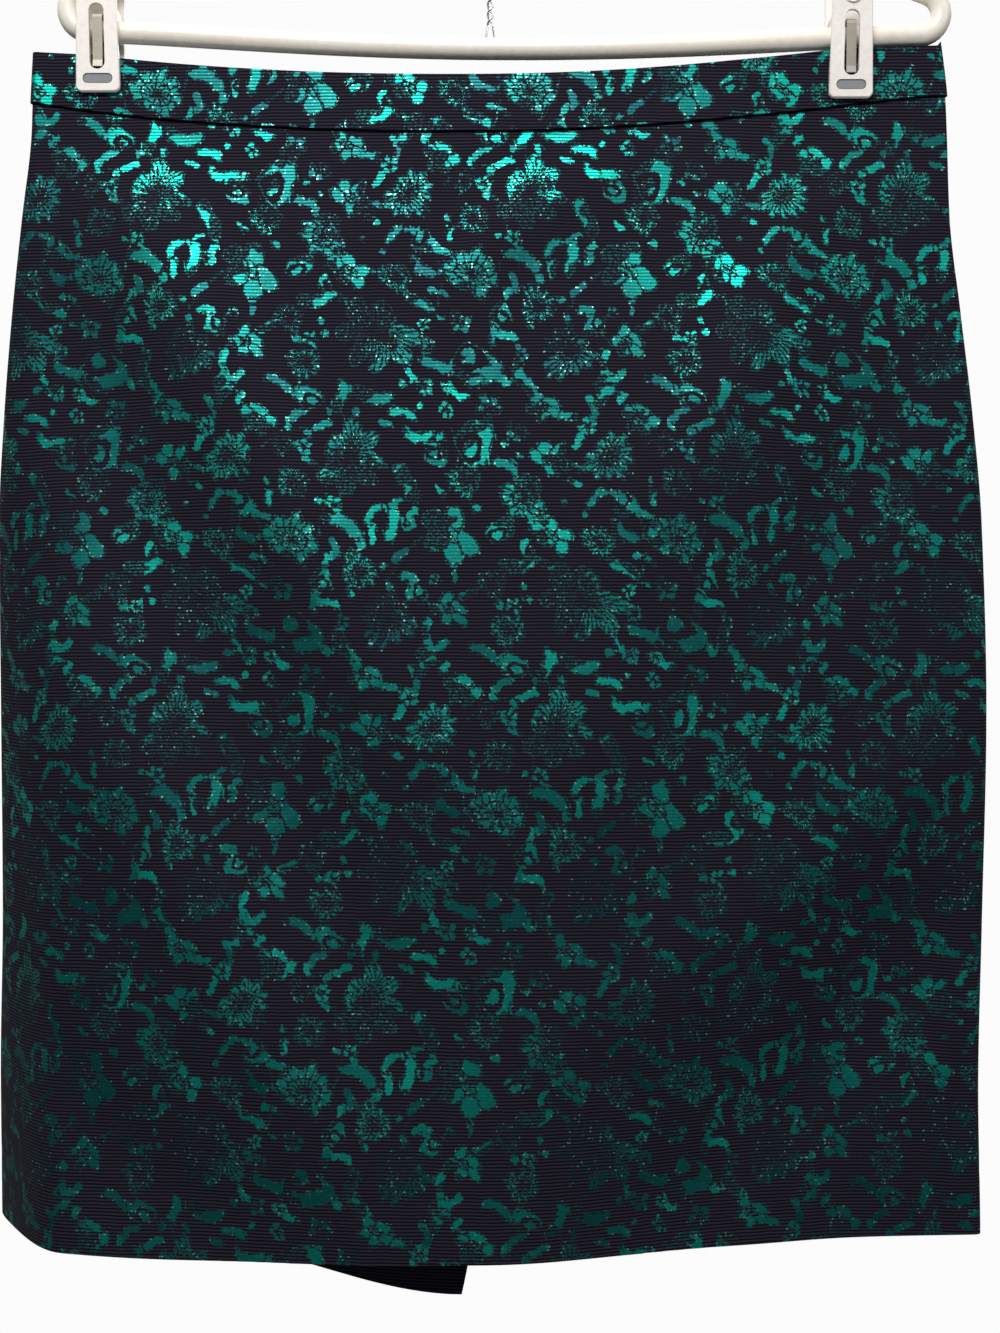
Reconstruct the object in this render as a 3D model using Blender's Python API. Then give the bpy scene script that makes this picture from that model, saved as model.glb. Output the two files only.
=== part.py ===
"""Knee-length pencil skirt held by two pinch clips on a tubular hanger.

Lengths are in metres, +Z is up and the front of the skirt faces -Y. The origin is the inner top of
the hook's crook, where the hanger hangs on a rail. The skirt is one front panel, two back panels
with a vent, and a contour waistband in three lengths, each a wall of cloth of even thickness.
"""
import math
from collections import namedtuple

import bmesh
import bpy
from mathutils import Matrix, Vector

MM = 0.001
GAP = 0.3 * MM                    # what parts two pieces that touch

# Hanger: heights are of the tube's axis.
BAR_DROP = 198.0 * MM             # from the crook's inner top down to the bar
TUBE_RADIUS = 5.1 * MM
TUBE_SIDES = 14
BEND_RADIUS = 10.3 * MM           # of the tube's axis at both ends of the bar
LEFT_BEND = Vector((-190.2 * MM, 0.0, -BAR_DROP + 11.4 * MM))
RIGHT_BEND = Vector((203.5 * MM, 0.0, -BAR_DROP + 9.5 * MM))
BAR_SAG = 7.3 * MM
BAR_SAG_SHARPNESS = 1.5
BAR_STEPS = 18
BEND_STEPS = 9
NECK_DROP = 104.0 * MM
TUBE_END = 5.0 * MM               # how far from the neck's axis each shoulder stops

# Hook, neck and the twisted wire stay between the neck and the bar.
HOOK_WIRE_RADIUS = 1.7 * MM
HOOK_INNER_RADIUS = 22.0 * MM
HOOK_START_ANGLE = -50.0
HOOK_END_ANGLE = 196.0
HOOK_SHANK_TOP = 60.0 * MM
HOOK_SIDES = 10
COLLAR_RADIUS = 9.0 * MM
COLLAR_HEIGHT = 19.0 * MM
COLLAR_EDGE = 2.5 * MM
STAY_WIRE_RADIUS = 0.6 * MM
STAY_HELIX_RADIUS = 1.2 * MM
STAY_FOOT_SPREAD = 1.9 * MM
STAY_FOOT_LENGTH = 6.0 * MM
STAY_HALF_TWIST = 4.7 * MM
STAY_POINTS_PER_TWIST = 6
STAY_SIDES = 6
STAY_SOCKET = 3.0 * MM

# Pinch clips: heights are from the bar's axis, depths from the hanger's plane.
CLIPS = {"left": -185.2 * MM, "right": 170.1 * MM}
JAW_TOP = 26.0 * MM
JAW_TIP = -30.0 * MM
JAW_WIDTH_TIP = 20.6 * MM
JAW_WIDTH_TOP = 18.6 * MM
JAW_CORNER = 2.6 * MM
JAW_THICKNESS = 2.4 * MM
JAW_REACH = 9.2 * MM              # the outer face's depth at the bar
JAW_TILT = 6.0                    # degrees, tops apart
JAW_EDGE = 0.5 * MM
CHEEK_INSET = 8.0 * MM
CHEEK_THICKNESS = 1.6 * MM
CHEEK_TOP = 9.0 * MM
CHEEK_BOTTOM = -4.6 * MM
SLOT_WIDTH = 7.1 * MM
SLOT_TOP = 10.2 * MM
SLOT_BOTTOM = -19.8 * MM
BOSS_HEIGHT = 17.8 * MM
BOSS_RADIUS = 4.6 * MM
BOSS_RELIEF = 0.5 * MM
BOSS_SIDES = 18
STADIUM = 0.96                    # corner radius of a stadium's end, as a share of half its width
CUT_START = 1.0 * MM              # depths a jaw's cutters run between
CUT_DEPTH = 20.0 * MM
GRIP_TOP = -9.0 * MM              # the plate starts to thicken here
GRIP_FULL = -16.0 * MM
GRIP_DEPTH = 3.2 * MM             # a jaw's inner face, against the waistband
PAD_LENGTH = 13.5 * MM
PAD_HEIGHT = 4.0 * MM
PAD_CENTRE = -24.0 * MM
PAD_RECESS = 0.1 * MM
SPRING_WIDTH = 4.6 * MM
SPRING_THICKNESS = 0.7 * MM
SPRING_TOP = 6.4 * MM             # inner face of its bend over the bar
SPRING_BEND = 2.2 * MM
SPRING_END = -18.4 * MM
SPRING_CURL = 3.2 * MM
SPRING_CURL_OUT = 1.0 * MM

# Cloth.
PANEL_WALL = 1.4 * MM
BAND_WALL = 2.4 * MM
HEM_WALL = 2.6 * MM               # where the hem or a vent edge is turned in
HEM_TURN = 30.0 * MM
VENT_TURN = 28.0 * MM
BAND_PROUD = 1.0 * MM             # how far the waistband stands out from the panels
BAND_HEIGHT = 27.0 * MM
BAND_SHARES = (0.0, 0.08, 0.5, 0.88, 1.0)     # of the width, from left to right
BAND_HEIGHTS = (25.0 * MM, 26.2 * MM, BAND_HEIGHT, 26.4 * MM, 25.4 * MM)
BAND_CLEAR = 2 * GAP              # between the waistband's top edge and the tube
BAND_LAG = 6.0 * MM               # how far behind the tube's rise its top edge follows
WAIST_LEFT = -231.3 * MM          # the waist seam's height at the two side folds
WAIST_RIGHT = -227.9 * MM
WAIST_LEVEL = -229.5 * MM         # where the sections' drop is counted from
HEM_LEFT = -768.7 * MM
HEM_RIGHT = -767.0 * MM
VENT_LENGTH = 175.0 * MM

# How far the seams and hems hang below a straight line between the side folds, in millimetres.
# The shape is (1 - |u| ** power) ** sharpness, with u from -1 at the left fold to 1 at the right.
WAIST_POWER = 2.0
Sag = namedtuple("Sag", "waist waist_sharpness_left waist_sharpness_right hem hem_power")
FRONT_SAG = Sag(17.3, 1.0, 1.5, 0.0, 2.0)
BACK_LEFT_SAG = Sag(34.0, 1.0, 1.0, 37.0, 1.6)
BACK_RIGHT_SAG = Sag(34.0, 1.0, 1.0, 26.0, 1.6)

# Where each half of the vent hangs: its corner's shift to the side and towards the front.
Vent = namedtuple("Vent", "side forward fade power")
LEFT_VENT = Vent(-14.0 * MM, 35.0 * MM, 90.0 * MM, 3.0)
RIGHT_VENT = Vent(9.0 * MM, 6.0 * MM, 70.0 * MM, 2.0)

# Level sections through the skirt, in millimetres: the drop below WAIST_LEVEL, both side folds,
# how far the left fold lies behind the hanger's plane, and how wide each fold's rounding is.
Outline = namedtuple("Outline", "drop left right left_back left_round right_round")
OUTLINE = [
    Outline(-34.0, -215.6, 212.0, 0.0, 1.9, 1.9),
    Outline(0.0, -217.4, 216.0, 0.0, 1.9, 1.9),
    Outline(14.0, -217.9, 216.6, 0.4, 2.1, 1.9),
    Outline(55.0, -223.2, 217.9, 3.2, 7.0, 3.0),
    Outline(100.0, -228.8, 223.0, 6.6, 12.0, 5.0),
    Outline(150.0, -233.9, 228.8, 11.0, 17.0, 6.0),
    Outline(200.0, -237.4, 233.0, 15.5, 22.0, 7.0),
    Outline(290.0, -238.5, 235.3, 23.0, 30.0, 6.0),
    Outline(390.0, -240.0, 233.2, 32.0, 38.0, 4.4),
    Outline(470.0, -242.8, 231.5, 39.0, 43.0, 3.8),
    Outline(540.0, -243.6, 232.5, 45.0, 45.0, 3.6),
    Outline(590.0, -243.6, 232.5, 46.0, 45.0, 3.6),
]

# How far the cloth's outer face swells from the line between the side folds, in millimetres, at
# set shares of the width from left to right.
SWELL_SHARES = (0.0, 0.10, 0.25, 0.50, 0.75, 0.87, 1.0)
Swell = namedtuple("Swell", "drop left_fold left_hip left_quarter middle right_quarter right_hip right_fold")
FRONT_SWELL = [
    Swell(-34.0, 1.9, 1.9, 3.6, 6.0, 3.8, 1.9, 1.9),
    Swell(0.0, 1.9, 1.9, 4.6, 8.0, 5.0, 1.9, 1.9),
    Swell(14.0, 2.1, 2.2, 5.6, 9.4, 6.0, 2.1, 1.9),
    Swell(70.0, 6.0, 10.0, 14.0, 16.0, 12.0, 6.5, 3.5),
    Swell(150.0, 10.0, 21.0, 26.0, 28.0, 22.0, 12.0, 6.0),
    Swell(230.0, 14.0, 32.0, 38.0, 39.0, 29.0, 15.0, 7.0),
    Swell(320.0, 19.0, 43.0, 50.0, 49.0, 33.0, 16.0, 6.0),
    Swell(420.0, 24.0, 55.0, 62.0, 58.0, 33.0, 15.0, 4.2),
    Swell(500.0, 28.0, 63.0, 70.0, 65.0, 32.0, 13.5, 3.8),
    Swell(540.0, 30.0, 67.0, 73.5, 67.5, 31.0, 13.0, 3.6),
    Swell(590.0, 30.0, 67.0, 73.5, 67.5, 31.0, 13.0, 3.6),
]
BACK_SWELL = [
    Swell(-34.0, 1.9, 1.9, 6.0, 11.0, 7.0, 1.9, 1.9),
    Swell(0.0, 1.9, 1.9, 7.0, 13.0, 8.0, 1.9, 1.9),
    Swell(18.0, 2.1, 2.2, 8.5, 15.0, 10.0, 2.1, 1.9),
    Swell(70.0, 4.0, 8.0, 18.0, 25.0, 20.0, 9.0, 3.5),
    Swell(150.0, 7.0, 16.0, 29.0, 38.0, 33.0, 19.0, 6.0),
    Swell(230.0, 9.0, 21.0, 37.0, 46.0, 42.0, 25.0, 7.0),
    Swell(320.0, 11.0, 23.0, 38.0, 46.0, 44.0, 27.0, 6.0),
    Swell(420.0, 12.0, 23.0, 36.0, 42.0, 42.0, 26.0, 4.2),
    Swell(500.0, 12.0, 23.0, 35.0, 39.0, 41.0, 24.0, 3.8),
    Swell(540.0, 12.0, 23.0, 34.0, 38.0, 40.0, 23.0, 3.6),
    Swell(590.0, 12.0, 23.0, 34.0, 38.0, 40.0, 23.0, 3.6),
]

# Drape folds that swag from the clips and the side folds, in millimetres: start, middle and end as
# place across and drop below WAIST_LEVEL, then height (below zero is a trough) and half width.
Fold = namedtuple("Fold", "x0 drop0 x1 drop1 x2 drop2 height width")
FRONT_FOLDS = [
    Fold(-186, 15, -120, 150, -25, 330, 5.0, 26),
    Fold(-214, 90, -140, 240, -40, 440, -5.0, 30),
    Fold(-226, 235, -150, 350, -60, 520, 4.5, 28),
    Fold(-228, 385, -190, 500, -90, 545, -4.0, 26),
    Fold(172, 15, 120, 120, 75, 215, 4.0, 24),
    Fold(214, 95, 160, 210, 90, 310, -3.0, 26),
    Fold(228, 285, 150, 370, 40, 440, 5.0, 28),
    Fold(228, 365, 165, 460, 60, 530, -6.0, 32),
    Fold(70, 20, 20, 50, -25, 95, 2.2, 16),
]
BACK_FOLDS = [
    Fold(-186, 20, -130, 140, -40, 300, 4.0, 26),
    Fold(-214, 110, -140, 250, -50, 400, -4.0, 30),
    Fold(172, 20, 125, 150, 45, 290, 4.5, 26),
    Fold(212, 120, 160, 260, 60, 410, -4.5, 30),
    Fold(220, 320, 150, 410, 60, 500, 4.0, 28),
    Fold(-200, 330, -150, 430, -70, 520, 3.5, 28),
]
FOLD_SAMPLES = 17
FOLD_START = 8.0 * MM             # folds begin this far below the waist seam
FOLD_FULL = 60.0 * MM
FOLD_EDGE = 30.0 * MM             # and die out this close to a side fold

# Meshes of the cloth.
ROUND_STEPS = 4
PANEL_COLUMNS = 22
PANEL_ROWS = 23
BAND_ROWS = 2

# Zip at the centre back: its slider, and the pull tab that hangs on the slider's bridge.
SLIDER_WIDTH = 5.0 * MM
SLIDER_HEIGHT = 8.0 * MM
SLIDER_BODY = 1.2 * MM
SLIDER_DROP = 7.0 * MM            # from the waistband's top edge to the slider's middle
SLIDER_OUTLINE = [(0.6, -1.0), (1.0, -0.55), (1.0, 0.5), (0.7, 1.0)]     # shares of half its size
BRIDGE_WIDTH = 1.8 * MM
BRIDGE_LENGTH = 5.6 * MM
BRIDGE_HEIGHT = 2.6 * MM
BRIDGE_WALL = 0.9 * MM
BRIDGE_ROOT = 0.4 * MM            # how deep the bridge runs into the slider
BRIDGE_BEND = 0.8 * MM
TAB_PIN_RADIUS = 0.55 * MM
TAB_WIRE = 1.1 * MM
TAB_LOOP = 6.0 * MM
TAB_END_STEPS = 9
TAB_LENGTH = 24.0 * MM
TAB_TOP_WIDTH = 5.1 * MM
TAB_WIDTH = 6.4 * MM
TAB_THICKNESS = 1.1 * MM


# ---------------------------------------------------------------- scene and materials

def clear_scene():
    for old in list(bpy.data.objects):
        bpy.data.objects.remove(old, do_unlink=True)


def material(name, colour, roughness, metallic=0.0):
    mat = bpy.data.materials.get(name)
    if mat is None:
        mat = bpy.data.materials.new(name)
        mat.use_nodes = True
        shader = mat.node_tree.nodes["Principled BSDF"]
        shader.inputs["Base Color"].default_value = (*colour, 1.0)
        shader.inputs["Roughness"].default_value = roughness
        shader.inputs["Metallic"].default_value = metallic
    return mat


def brocade():
    return material("brocade", (0.018, 0.075, 0.075), 0.45, 0.3)


def cream_coating():
    return material("cream coating", (0.86, 0.81, 0.71), 0.3)


def cream_plastic():
    return material("cream plastic", (0.87, 0.83, 0.77), 0.38)


def chrome():
    return material("chrome", (0.75, 0.75, 0.76), 0.15, 1.0)


def spring_steel():
    return material("spring steel", (0.62, 0.58, 0.52), 0.3, 1.0)


def grey_rubber():
    return material("grey rubber", (0.45, 0.46, 0.48), 0.7)


def zip_metal():
    return material("dark zip metal", (0.05, 0.06, 0.08), 0.35, 0.8)


def link(name, mesh, mat, smooth_angle=None):
    obj = bpy.data.objects.new(name, mesh)
    bpy.context.scene.collection.objects.link(obj)
    mesh.materials.append(mat)
    if smooth_angle is not None:
        mesh.shade_smooth()
        mesh.set_sharp_from_angle(angle=math.radians(smooth_angle))
    return obj


def mesh_from(name, vertices, faces):
    """A mesh whose faces all point outwards."""
    mesh = bpy.data.meshes.new(name)
    mesh.from_pydata(vertices, [], faces)
    work = bmesh.new()
    work.from_mesh(mesh)
    bmesh.ops.recalc_face_normals(work, faces=work.faces)
    work.to_mesh(mesh)
    work.free()
    mesh.update()
    return mesh


def combine(target, tool, operation):
    """Boolean of a finished tool on the target; the tool stays as a hidden guide."""
    modifier = target.modifiers.new(tool.name, "BOOLEAN")
    modifier.operation = operation
    modifier.solver = "EXACT"
    modifier.object = tool
    tool.hide_render = True
    tool.display_type = "WIRE"


# ---------------------------------------------------------------- smooth curves

def eased(knots, values, x):
    """A smooth curve through the values that never swings past them."""
    if x <= knots[0]:
        return values[0]
    if x >= knots[-1]:
        return values[-1]
    k = max(i for i in range(len(knots) - 1) if knots[i] <= x)
    steps = [knots[i + 1] - knots[i] for i in range(len(knots) - 1)]
    slopes = [(values[i + 1] - values[i]) / steps[i] for i in range(len(steps))]

    def tangent(i):
        if i == 0:
            return slopes[0]
        if i == len(steps):
            return slopes[-1]
        if slopes[i - 1] * slopes[i] <= 0.0:
            return 0.0
        before = 2.0 * steps[i] + steps[i - 1]
        after = steps[i] + 2.0 * steps[i - 1]
        return (before + after) / (before / slopes[i - 1] + after / slopes[i])

    t = (x - knots[k]) / steps[k]
    rise = values[k] * (2 * t ** 3 - 3 * t ** 2 + 1) + values[k + 1] * (3 * t ** 2 - 2 * t ** 3)
    lean = steps[k] * (tangent(k) * (t ** 3 - 2 * t ** 2 + t) + tangent(k + 1) * (t ** 3 - t ** 2))
    return rise + lean


def ramp(low, high, x):
    """0 below low, 1 above high, smooth between."""
    t = min(1.0, max(0.0, (x - low) / (high - low)))
    return t * t * (3.0 - 2.0 * t)


def bezier(start, control_a, control_b, end, steps):
    points = []
    for i in range(steps + 1):
        t = i / steps
        points.append(start * (1 - t) ** 3 + control_a * 3 * t * (1 - t) ** 2
                      + control_b * 3 * t * t * (1 - t) + end * t ** 3)
    return points


def arc(centre, radius, start, end, steps):
    """Points in the hanger's plane, from one angle to another in degrees."""
    points = []
    for i in range(steps + 1):
        angle = math.radians(start + (end - start) * i / steps)
        points.append(centre + Vector((math.cos(angle), 0.0, math.sin(angle))) * radius)
    return points


# ---------------------------------------------------------------- tubes and wires

def tube_mesh(name, path, radius, sides):
    """A round tube along a path, capped at both ends, carried along without twist."""
    count = len(path)
    tangents = []
    for i in range(count):
        ahead = path[min(i + 1, count - 1)]
        behind = path[max(i - 1, 0)]
        tangents.append((ahead - behind).normalized())
    side = Vector((0.0, 1.0, 0.0))
    vertices = []
    for point, tangent in zip(path, tangents):
        side = (side - tangent * side.dot(tangent)).normalized()
        other = tangent.cross(side)
        for k in range(sides):
            angle = math.tau * k / sides
            vertices.append(point + (side * math.cos(angle) + other * math.sin(angle)) * radius)
    faces = [list(range(sides)), list(range((count - 1) * sides, count * sides))]
    for i in range(count - 1):
        for k in range(sides):
            here = i * sides + k
            beside = i * sides + (k + 1) % sides
            faces.append([here, beside, beside + sides, here + sides])
    return mesh_from(name, vertices, faces)


def lengthened(path, amount):
    """The path with both ends moved on along their own directions."""
    start = path[0] + (path[0] - path[1]).normalized() * amount
    end = path[-1] + (path[-1] - path[-2]).normalized() * amount
    return [start] + list(path) + [end]


def bar_axis(x):
    """The sagging bar's axis at one place across."""
    low = LEFT_BEND.z - BEND_RADIUS
    high = RIGHT_BEND.z - BEND_RADIUS
    share = (x - LEFT_BEND.x) / (RIGHT_BEND.x - LEFT_BEND.x)
    u = 2.0 * share - 1.0
    sag = BAR_SAG * max(0.0, 1.0 - u * u) ** BAR_SAG_SHARPNESS
    return Vector((x, 0.0, low + (high - low) * share - sag))


def under_tube(x):
    """Height of the tube's underside above one place of the waistband."""
    past_bend = x - RIGHT_BEND.x
    if past_bend <= 0.0:
        return bar_axis(x).z - TUBE_RADIUS
    outer = BEND_RADIUS + TUBE_RADIUS
    return RIGHT_BEND.z - math.sqrt(max(0.0, outer * outer - past_bend * past_bend))


def shoulder_angle(bend, neck, side):
    """The angle on a bend's circle where the line to the neck leaves it, in degrees."""
    away = neck - bend
    towards = math.degrees(math.atan2(away.z, away.x))
    return towards + side * math.degrees(math.acos(BEND_RADIUS / away.length))


def hanger_path():
    """Left shoulder, left bend, bar, right bend, right shoulder."""
    left_neck = Vector((-TUBE_END, 0.0, -NECK_DROP))
    right_neck = Vector((TUBE_END, 0.0, -NECK_DROP))
    left_angle = shoulder_angle(LEFT_BEND, left_neck, 1.0)
    right_angle = shoulder_angle(RIGHT_BEND, right_neck, -1.0)
    path = [left_neck]
    path += arc(LEFT_BEND, BEND_RADIUS, left_angle, 270.0, BEND_STEPS)
    span = RIGHT_BEND.x - LEFT_BEND.x
    path += [bar_axis(LEFT_BEND.x + span * i / BAR_STEPS) for i in range(1, BAR_STEPS)]
    path += arc(RIGHT_BEND, BEND_RADIUS, -90.0, right_angle, BEND_STEPS)
    path.append(right_neck)
    return path


def hook_path():
    """Straight shank, a bend to the side, and the round crook over the rail."""
    radius = HOOK_INNER_RADIUS + HOOK_WIRE_RADIUS
    centre = Vector((0.0, 0.0, -HOOK_INNER_RADIUS))
    crook = arc(centre, radius, HOOK_START_ANGLE, HOOK_END_ANGLE, 22)
    start = math.radians(HOOK_START_ANGLE)
    direction = Vector((-math.sin(start), 0.0, math.cos(start)))
    shank_top = Vector((0.0, 0.0, -HOOK_SHANK_TOP))
    pull = 7.0 * MM
    sweep = bezier(shank_top, shank_top + Vector((0.0, 0.0, pull)), crook[0] - direction * pull, crook[0], 6)
    foot = Vector((0.0, 0.0, -NECK_DROP + 2.0 * MM))
    return [foot] + sweep[:-1] + crook


def stay_path(phase):
    """One of two wires that twist round each other, their feet apart on the bar."""
    bottom = bar_axis(0.0).z + TUBE_RADIUS + GAP
    top = -NECK_DROP - COLLAR_HEIGHT / 2 + STAY_SOCKET
    step = 2.0 * STAY_HALF_TWIST / STAY_POINTS_PER_TWIST
    count = round((top - bottom) / step)
    points = []
    for i in range(count + 1):
        height = (top - bottom) * i / count
        twist = max(0.0, height - STAY_FOOT_LENGTH) / STAY_HALF_TWIST * math.pi
        spread = STAY_HELIX_RADIUS
        spread += (STAY_FOOT_SPREAD - STAY_HELIX_RADIUS) * (1.0 - ramp(0.0, STAY_FOOT_LENGTH, height))
        angle = twist + phase
        points.append(Vector((math.cos(angle) * spread, math.sin(angle) * spread, bottom + height)))
    return points


def collar_mesh(name, radius, height, edge, sides=20):
    """The neck piece, turned, with rounded ends."""
    half = height / 2
    profile = [(0.0, -half), (radius - edge, -half), (radius - edge * 0.3, -half + edge * 0.3)]
    profile += [(radius, -half + edge), (radius, half - edge), (radius - edge * 0.3, half - edge * 0.3)]
    profile += [(radius - edge, half), (0.0, half)]
    vertices = [Vector((0.0, 0.0, profile[0][1]))]
    for r, z in profile[1:-1]:
        for k in range(sides):
            angle = math.tau * k / sides
            vertices.append(Vector((r * math.cos(angle), r * math.sin(angle), z)))
    vertices.append(Vector((0.0, 0.0, profile[-1][1])))
    rings = len(profile) - 2
    last = len(vertices) - 1
    faces = []
    for k in range(sides):
        beside = (k + 1) % sides
        faces.append([0, 1 + beside, 1 + k])
        faces.append([last, 1 + (rings - 1) * sides + k, 1 + (rings - 1) * sides + beside])
        for ring in range(rings - 1):
            low = 1 + ring * sides
            faces.append([low + k, low + beside, low + sides + beside, low + sides + k])
    return mesh_from(name, vertices, faces)


def make_hanger():
    tube_path = hanger_path()
    hook = hook_path()
    link("hanger_tube", tube_mesh("hanger_tube", tube_path, TUBE_RADIUS, TUBE_SIDES), cream_coating(), 60)
    link("hook_wire", tube_mesh("hook_wire", hook, HOOK_WIRE_RADIUS, HOOK_SIDES), chrome(), 60)
    collar = link("hook_collar", collar_mesh("hook_collar", COLLAR_RADIUS, COLLAR_HEIGHT, COLLAR_EDGE),
                  cream_coating(), 40)
    collar.location = (0.0, 0.0, -NECK_DROP)
    sockets = {
        "collar_tube_socket": (tube_path, TUBE_RADIUS + GAP, TUBE_SIDES),
        "collar_hook_socket": (hook[:3], HOOK_WIRE_RADIUS + GAP, HOOK_SIDES),
    }
    for name, phase in (("stay_wire_a", 0.0), ("stay_wire_b", math.pi)):
        path = stay_path(phase)
        link(name, tube_mesh(name, path, STAY_WIRE_RADIUS, STAY_SIDES), chrome(), 60)
        sockets[name + "_socket"] = (path[-6:], STAY_WIRE_RADIUS + GAP, STAY_SIDES)
    for name, (path, radius, sides) in sockets.items():
        tool = link(name, tube_mesh(name, lengthened(path, GAP), radius, sides), chrome())
        combine(collar, tool, "DIFFERENCE")


# ---------------------------------------------------------------- clips

def prism(name, outline, axis, low, high):
    """A flat outline of (first, height) pairs drawn out along X or Y."""
    vertices = []
    for along in (low, high):
        for first, height in outline:
            if axis == "X":
                vertices.append(Vector((along, first, height)))
            else:
                vertices.append(Vector((first, along, height)))
    count = len(outline)
    faces = [list(range(count)), list(range(count, 2 * count))]
    for i in range(count):
        j = (i + 1) % count
        faces.append([i, j, j + count, i + count])
    return mesh_from(name, vertices, faces)


def rounded_trapezium(bottom_width, top_width, bottom, top, corner, steps=3):
    """An upright outline with four rounded corners, as (across, height) pairs."""
    points = []
    corners = [
        (bottom_width / 2 - corner, bottom + corner, -90.0),
        (top_width / 2 - corner, top - corner, 0.0),
        (-top_width / 2 + corner, top - corner, 90.0),
        (-bottom_width / 2 + corner, bottom + corner, 180.0),
    ]
    for across, height, start in corners:
        for i in range(steps + 1):
            angle = math.radians(start + 90.0 * i / steps)
            points.append((across + corner * math.cos(angle), height + corner * math.sin(angle)))
    return points


def outer_face(height):
    """Depth of a jaw's outer face at a height from the bar's axis."""
    return JAW_REACH + height * math.tan(math.radians(JAW_TILT))


def jaw_side(front):
    """A jaw seen from the side: a leaning plate that thickens to an upright gripping toe."""
    inner = [
        (outer_face(JAW_TOP) - JAW_THICKNESS, JAW_TOP),
        (outer_face(GRIP_TOP) - JAW_THICKNESS, GRIP_TOP),
        (GRIP_DEPTH, GRIP_FULL),
        (GRIP_DEPTH, JAW_TIP),
    ]
    outline = [(outer_face(JAW_TIP), JAW_TIP), (outer_face(JAW_TOP), JAW_TOP)] + inner
    side = -1.0 if front else 1.0
    return [(side * depth, height) for depth, height in outline]


def place(mesh, offset):
    for vertex in mesh.vertices:
        vertex.co += offset
    return mesh


def make_jaw(side, front, centre, tube_path):
    name = f"clip_{'front' if front else 'rear'}_jaw_{side}"
    sign = -1.0 if front else 1.0
    outline = rounded_trapezium(JAW_WIDTH_TIP, JAW_WIDTH_TOP, JAW_TIP, JAW_TOP, JAW_CORNER)
    low, high = sorted((0.0, sign * CUT_DEPTH))
    jaw = link(name, place(prism(name, outline, "Y", low, high), centre), cream_plastic(), 35)
    half = JAW_WIDTH_TIP
    profile = place(prism(name + "_profile", jaw_side(front), "X", -half, half), centre)
    combine(jaw, link(name + "_profile", profile, cream_plastic()), "INTERSECT")
    edge = jaw.modifiers.new("soft edges", "BEVEL")
    edge.width = JAW_EDGE
    edge.segments = 1
    edge.limit_method = "ANGLE"
    edge.angle_limit = math.radians(40)
    for cheek_side in (-1.0, 1.0):
        cheek_name = f"{name}_cheek_{'left' if cheek_side < 0 else 'right'}"
        across = cheek_side * CHEEK_INSET
        low, high = sorted((sign * GAP, sign * (outer_face(0.0) - JAW_THICKNESS / 2)))
        box = [(low, CHEEK_BOTTOM), (high, CHEEK_BOTTOM), (high, CHEEK_TOP), (low, CHEEK_TOP)]
        cheek = prism(cheek_name, box, "X", across - CHEEK_THICKNESS / 2, across + CHEEK_THICKNESS / 2)
        combine(jaw, link(cheek_name, place(cheek, centre), cream_plastic()), "UNION")
    boss_outline = []
    for k in range(BOSS_SIDES):
        angle = math.tau * k / BOSS_SIDES
        boss_outline.append((BOSS_RADIUS * math.cos(angle), BOSS_HEIGHT + BOSS_RADIUS * math.sin(angle)))
    boss_face = outer_face(BOSS_HEIGHT)
    low, high = sorted((sign * (boss_face - JAW_THICKNESS / 2), sign * (boss_face + BOSS_RELIEF)))
    boss = prism(name + "_boss", boss_outline, "Y", low, high)
    combine(jaw, link(name + "_boss", place(boss, centre), cream_plastic()), "UNION")
    slot = rounded_trapezium(SLOT_WIDTH, SLOT_WIDTH, SLOT_BOTTOM, SLOT_TOP, SLOT_WIDTH / 2 * STADIUM, 6)
    low, high = sorted((sign * CUT_START, sign * CUT_DEPTH))
    for tool_name, tool_outline in ((name + "_slot", slot), (name + "_pad_hole", pad_outline(GAP))):
        cut = prism(tool_name, tool_outline, "Y", low, high)
        combine(jaw, link(tool_name, place(cut, centre), cream_plastic()), "DIFFERENCE")
    seat = tube_mesh(name + "_seat", tube_path, TUBE_RADIUS + GAP, TUBE_SIDES)
    combine(jaw, link(name + "_seat", seat, cream_plastic()), "DIFFERENCE")


def pad_outline(margin):
    height = PAD_HEIGHT + 2 * margin
    width = PAD_LENGTH + 2 * margin
    bottom = PAD_CENTRE - height / 2
    return rounded_trapezium(width, width, bottom, bottom + height, height / 2 * STADIUM, 5)


def make_pad(side, front, centre):
    """The rubber pad let through a jaw's toe: grey outside, gripping the cloth inside."""
    name = f"clip_{'front' if front else 'rear'}_pad_{side}"
    sign = -1.0 if front else 1.0
    outside = outer_face(PAD_CENTRE - PAD_HEIGHT / 2) - PAD_RECESS
    pad = prism(name, pad_outline(0.0), "Y", *sorted((sign * GRIP_DEPTH, sign * outside)))
    link(name, place(pad, centre), grey_rubber(), 35)


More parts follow.
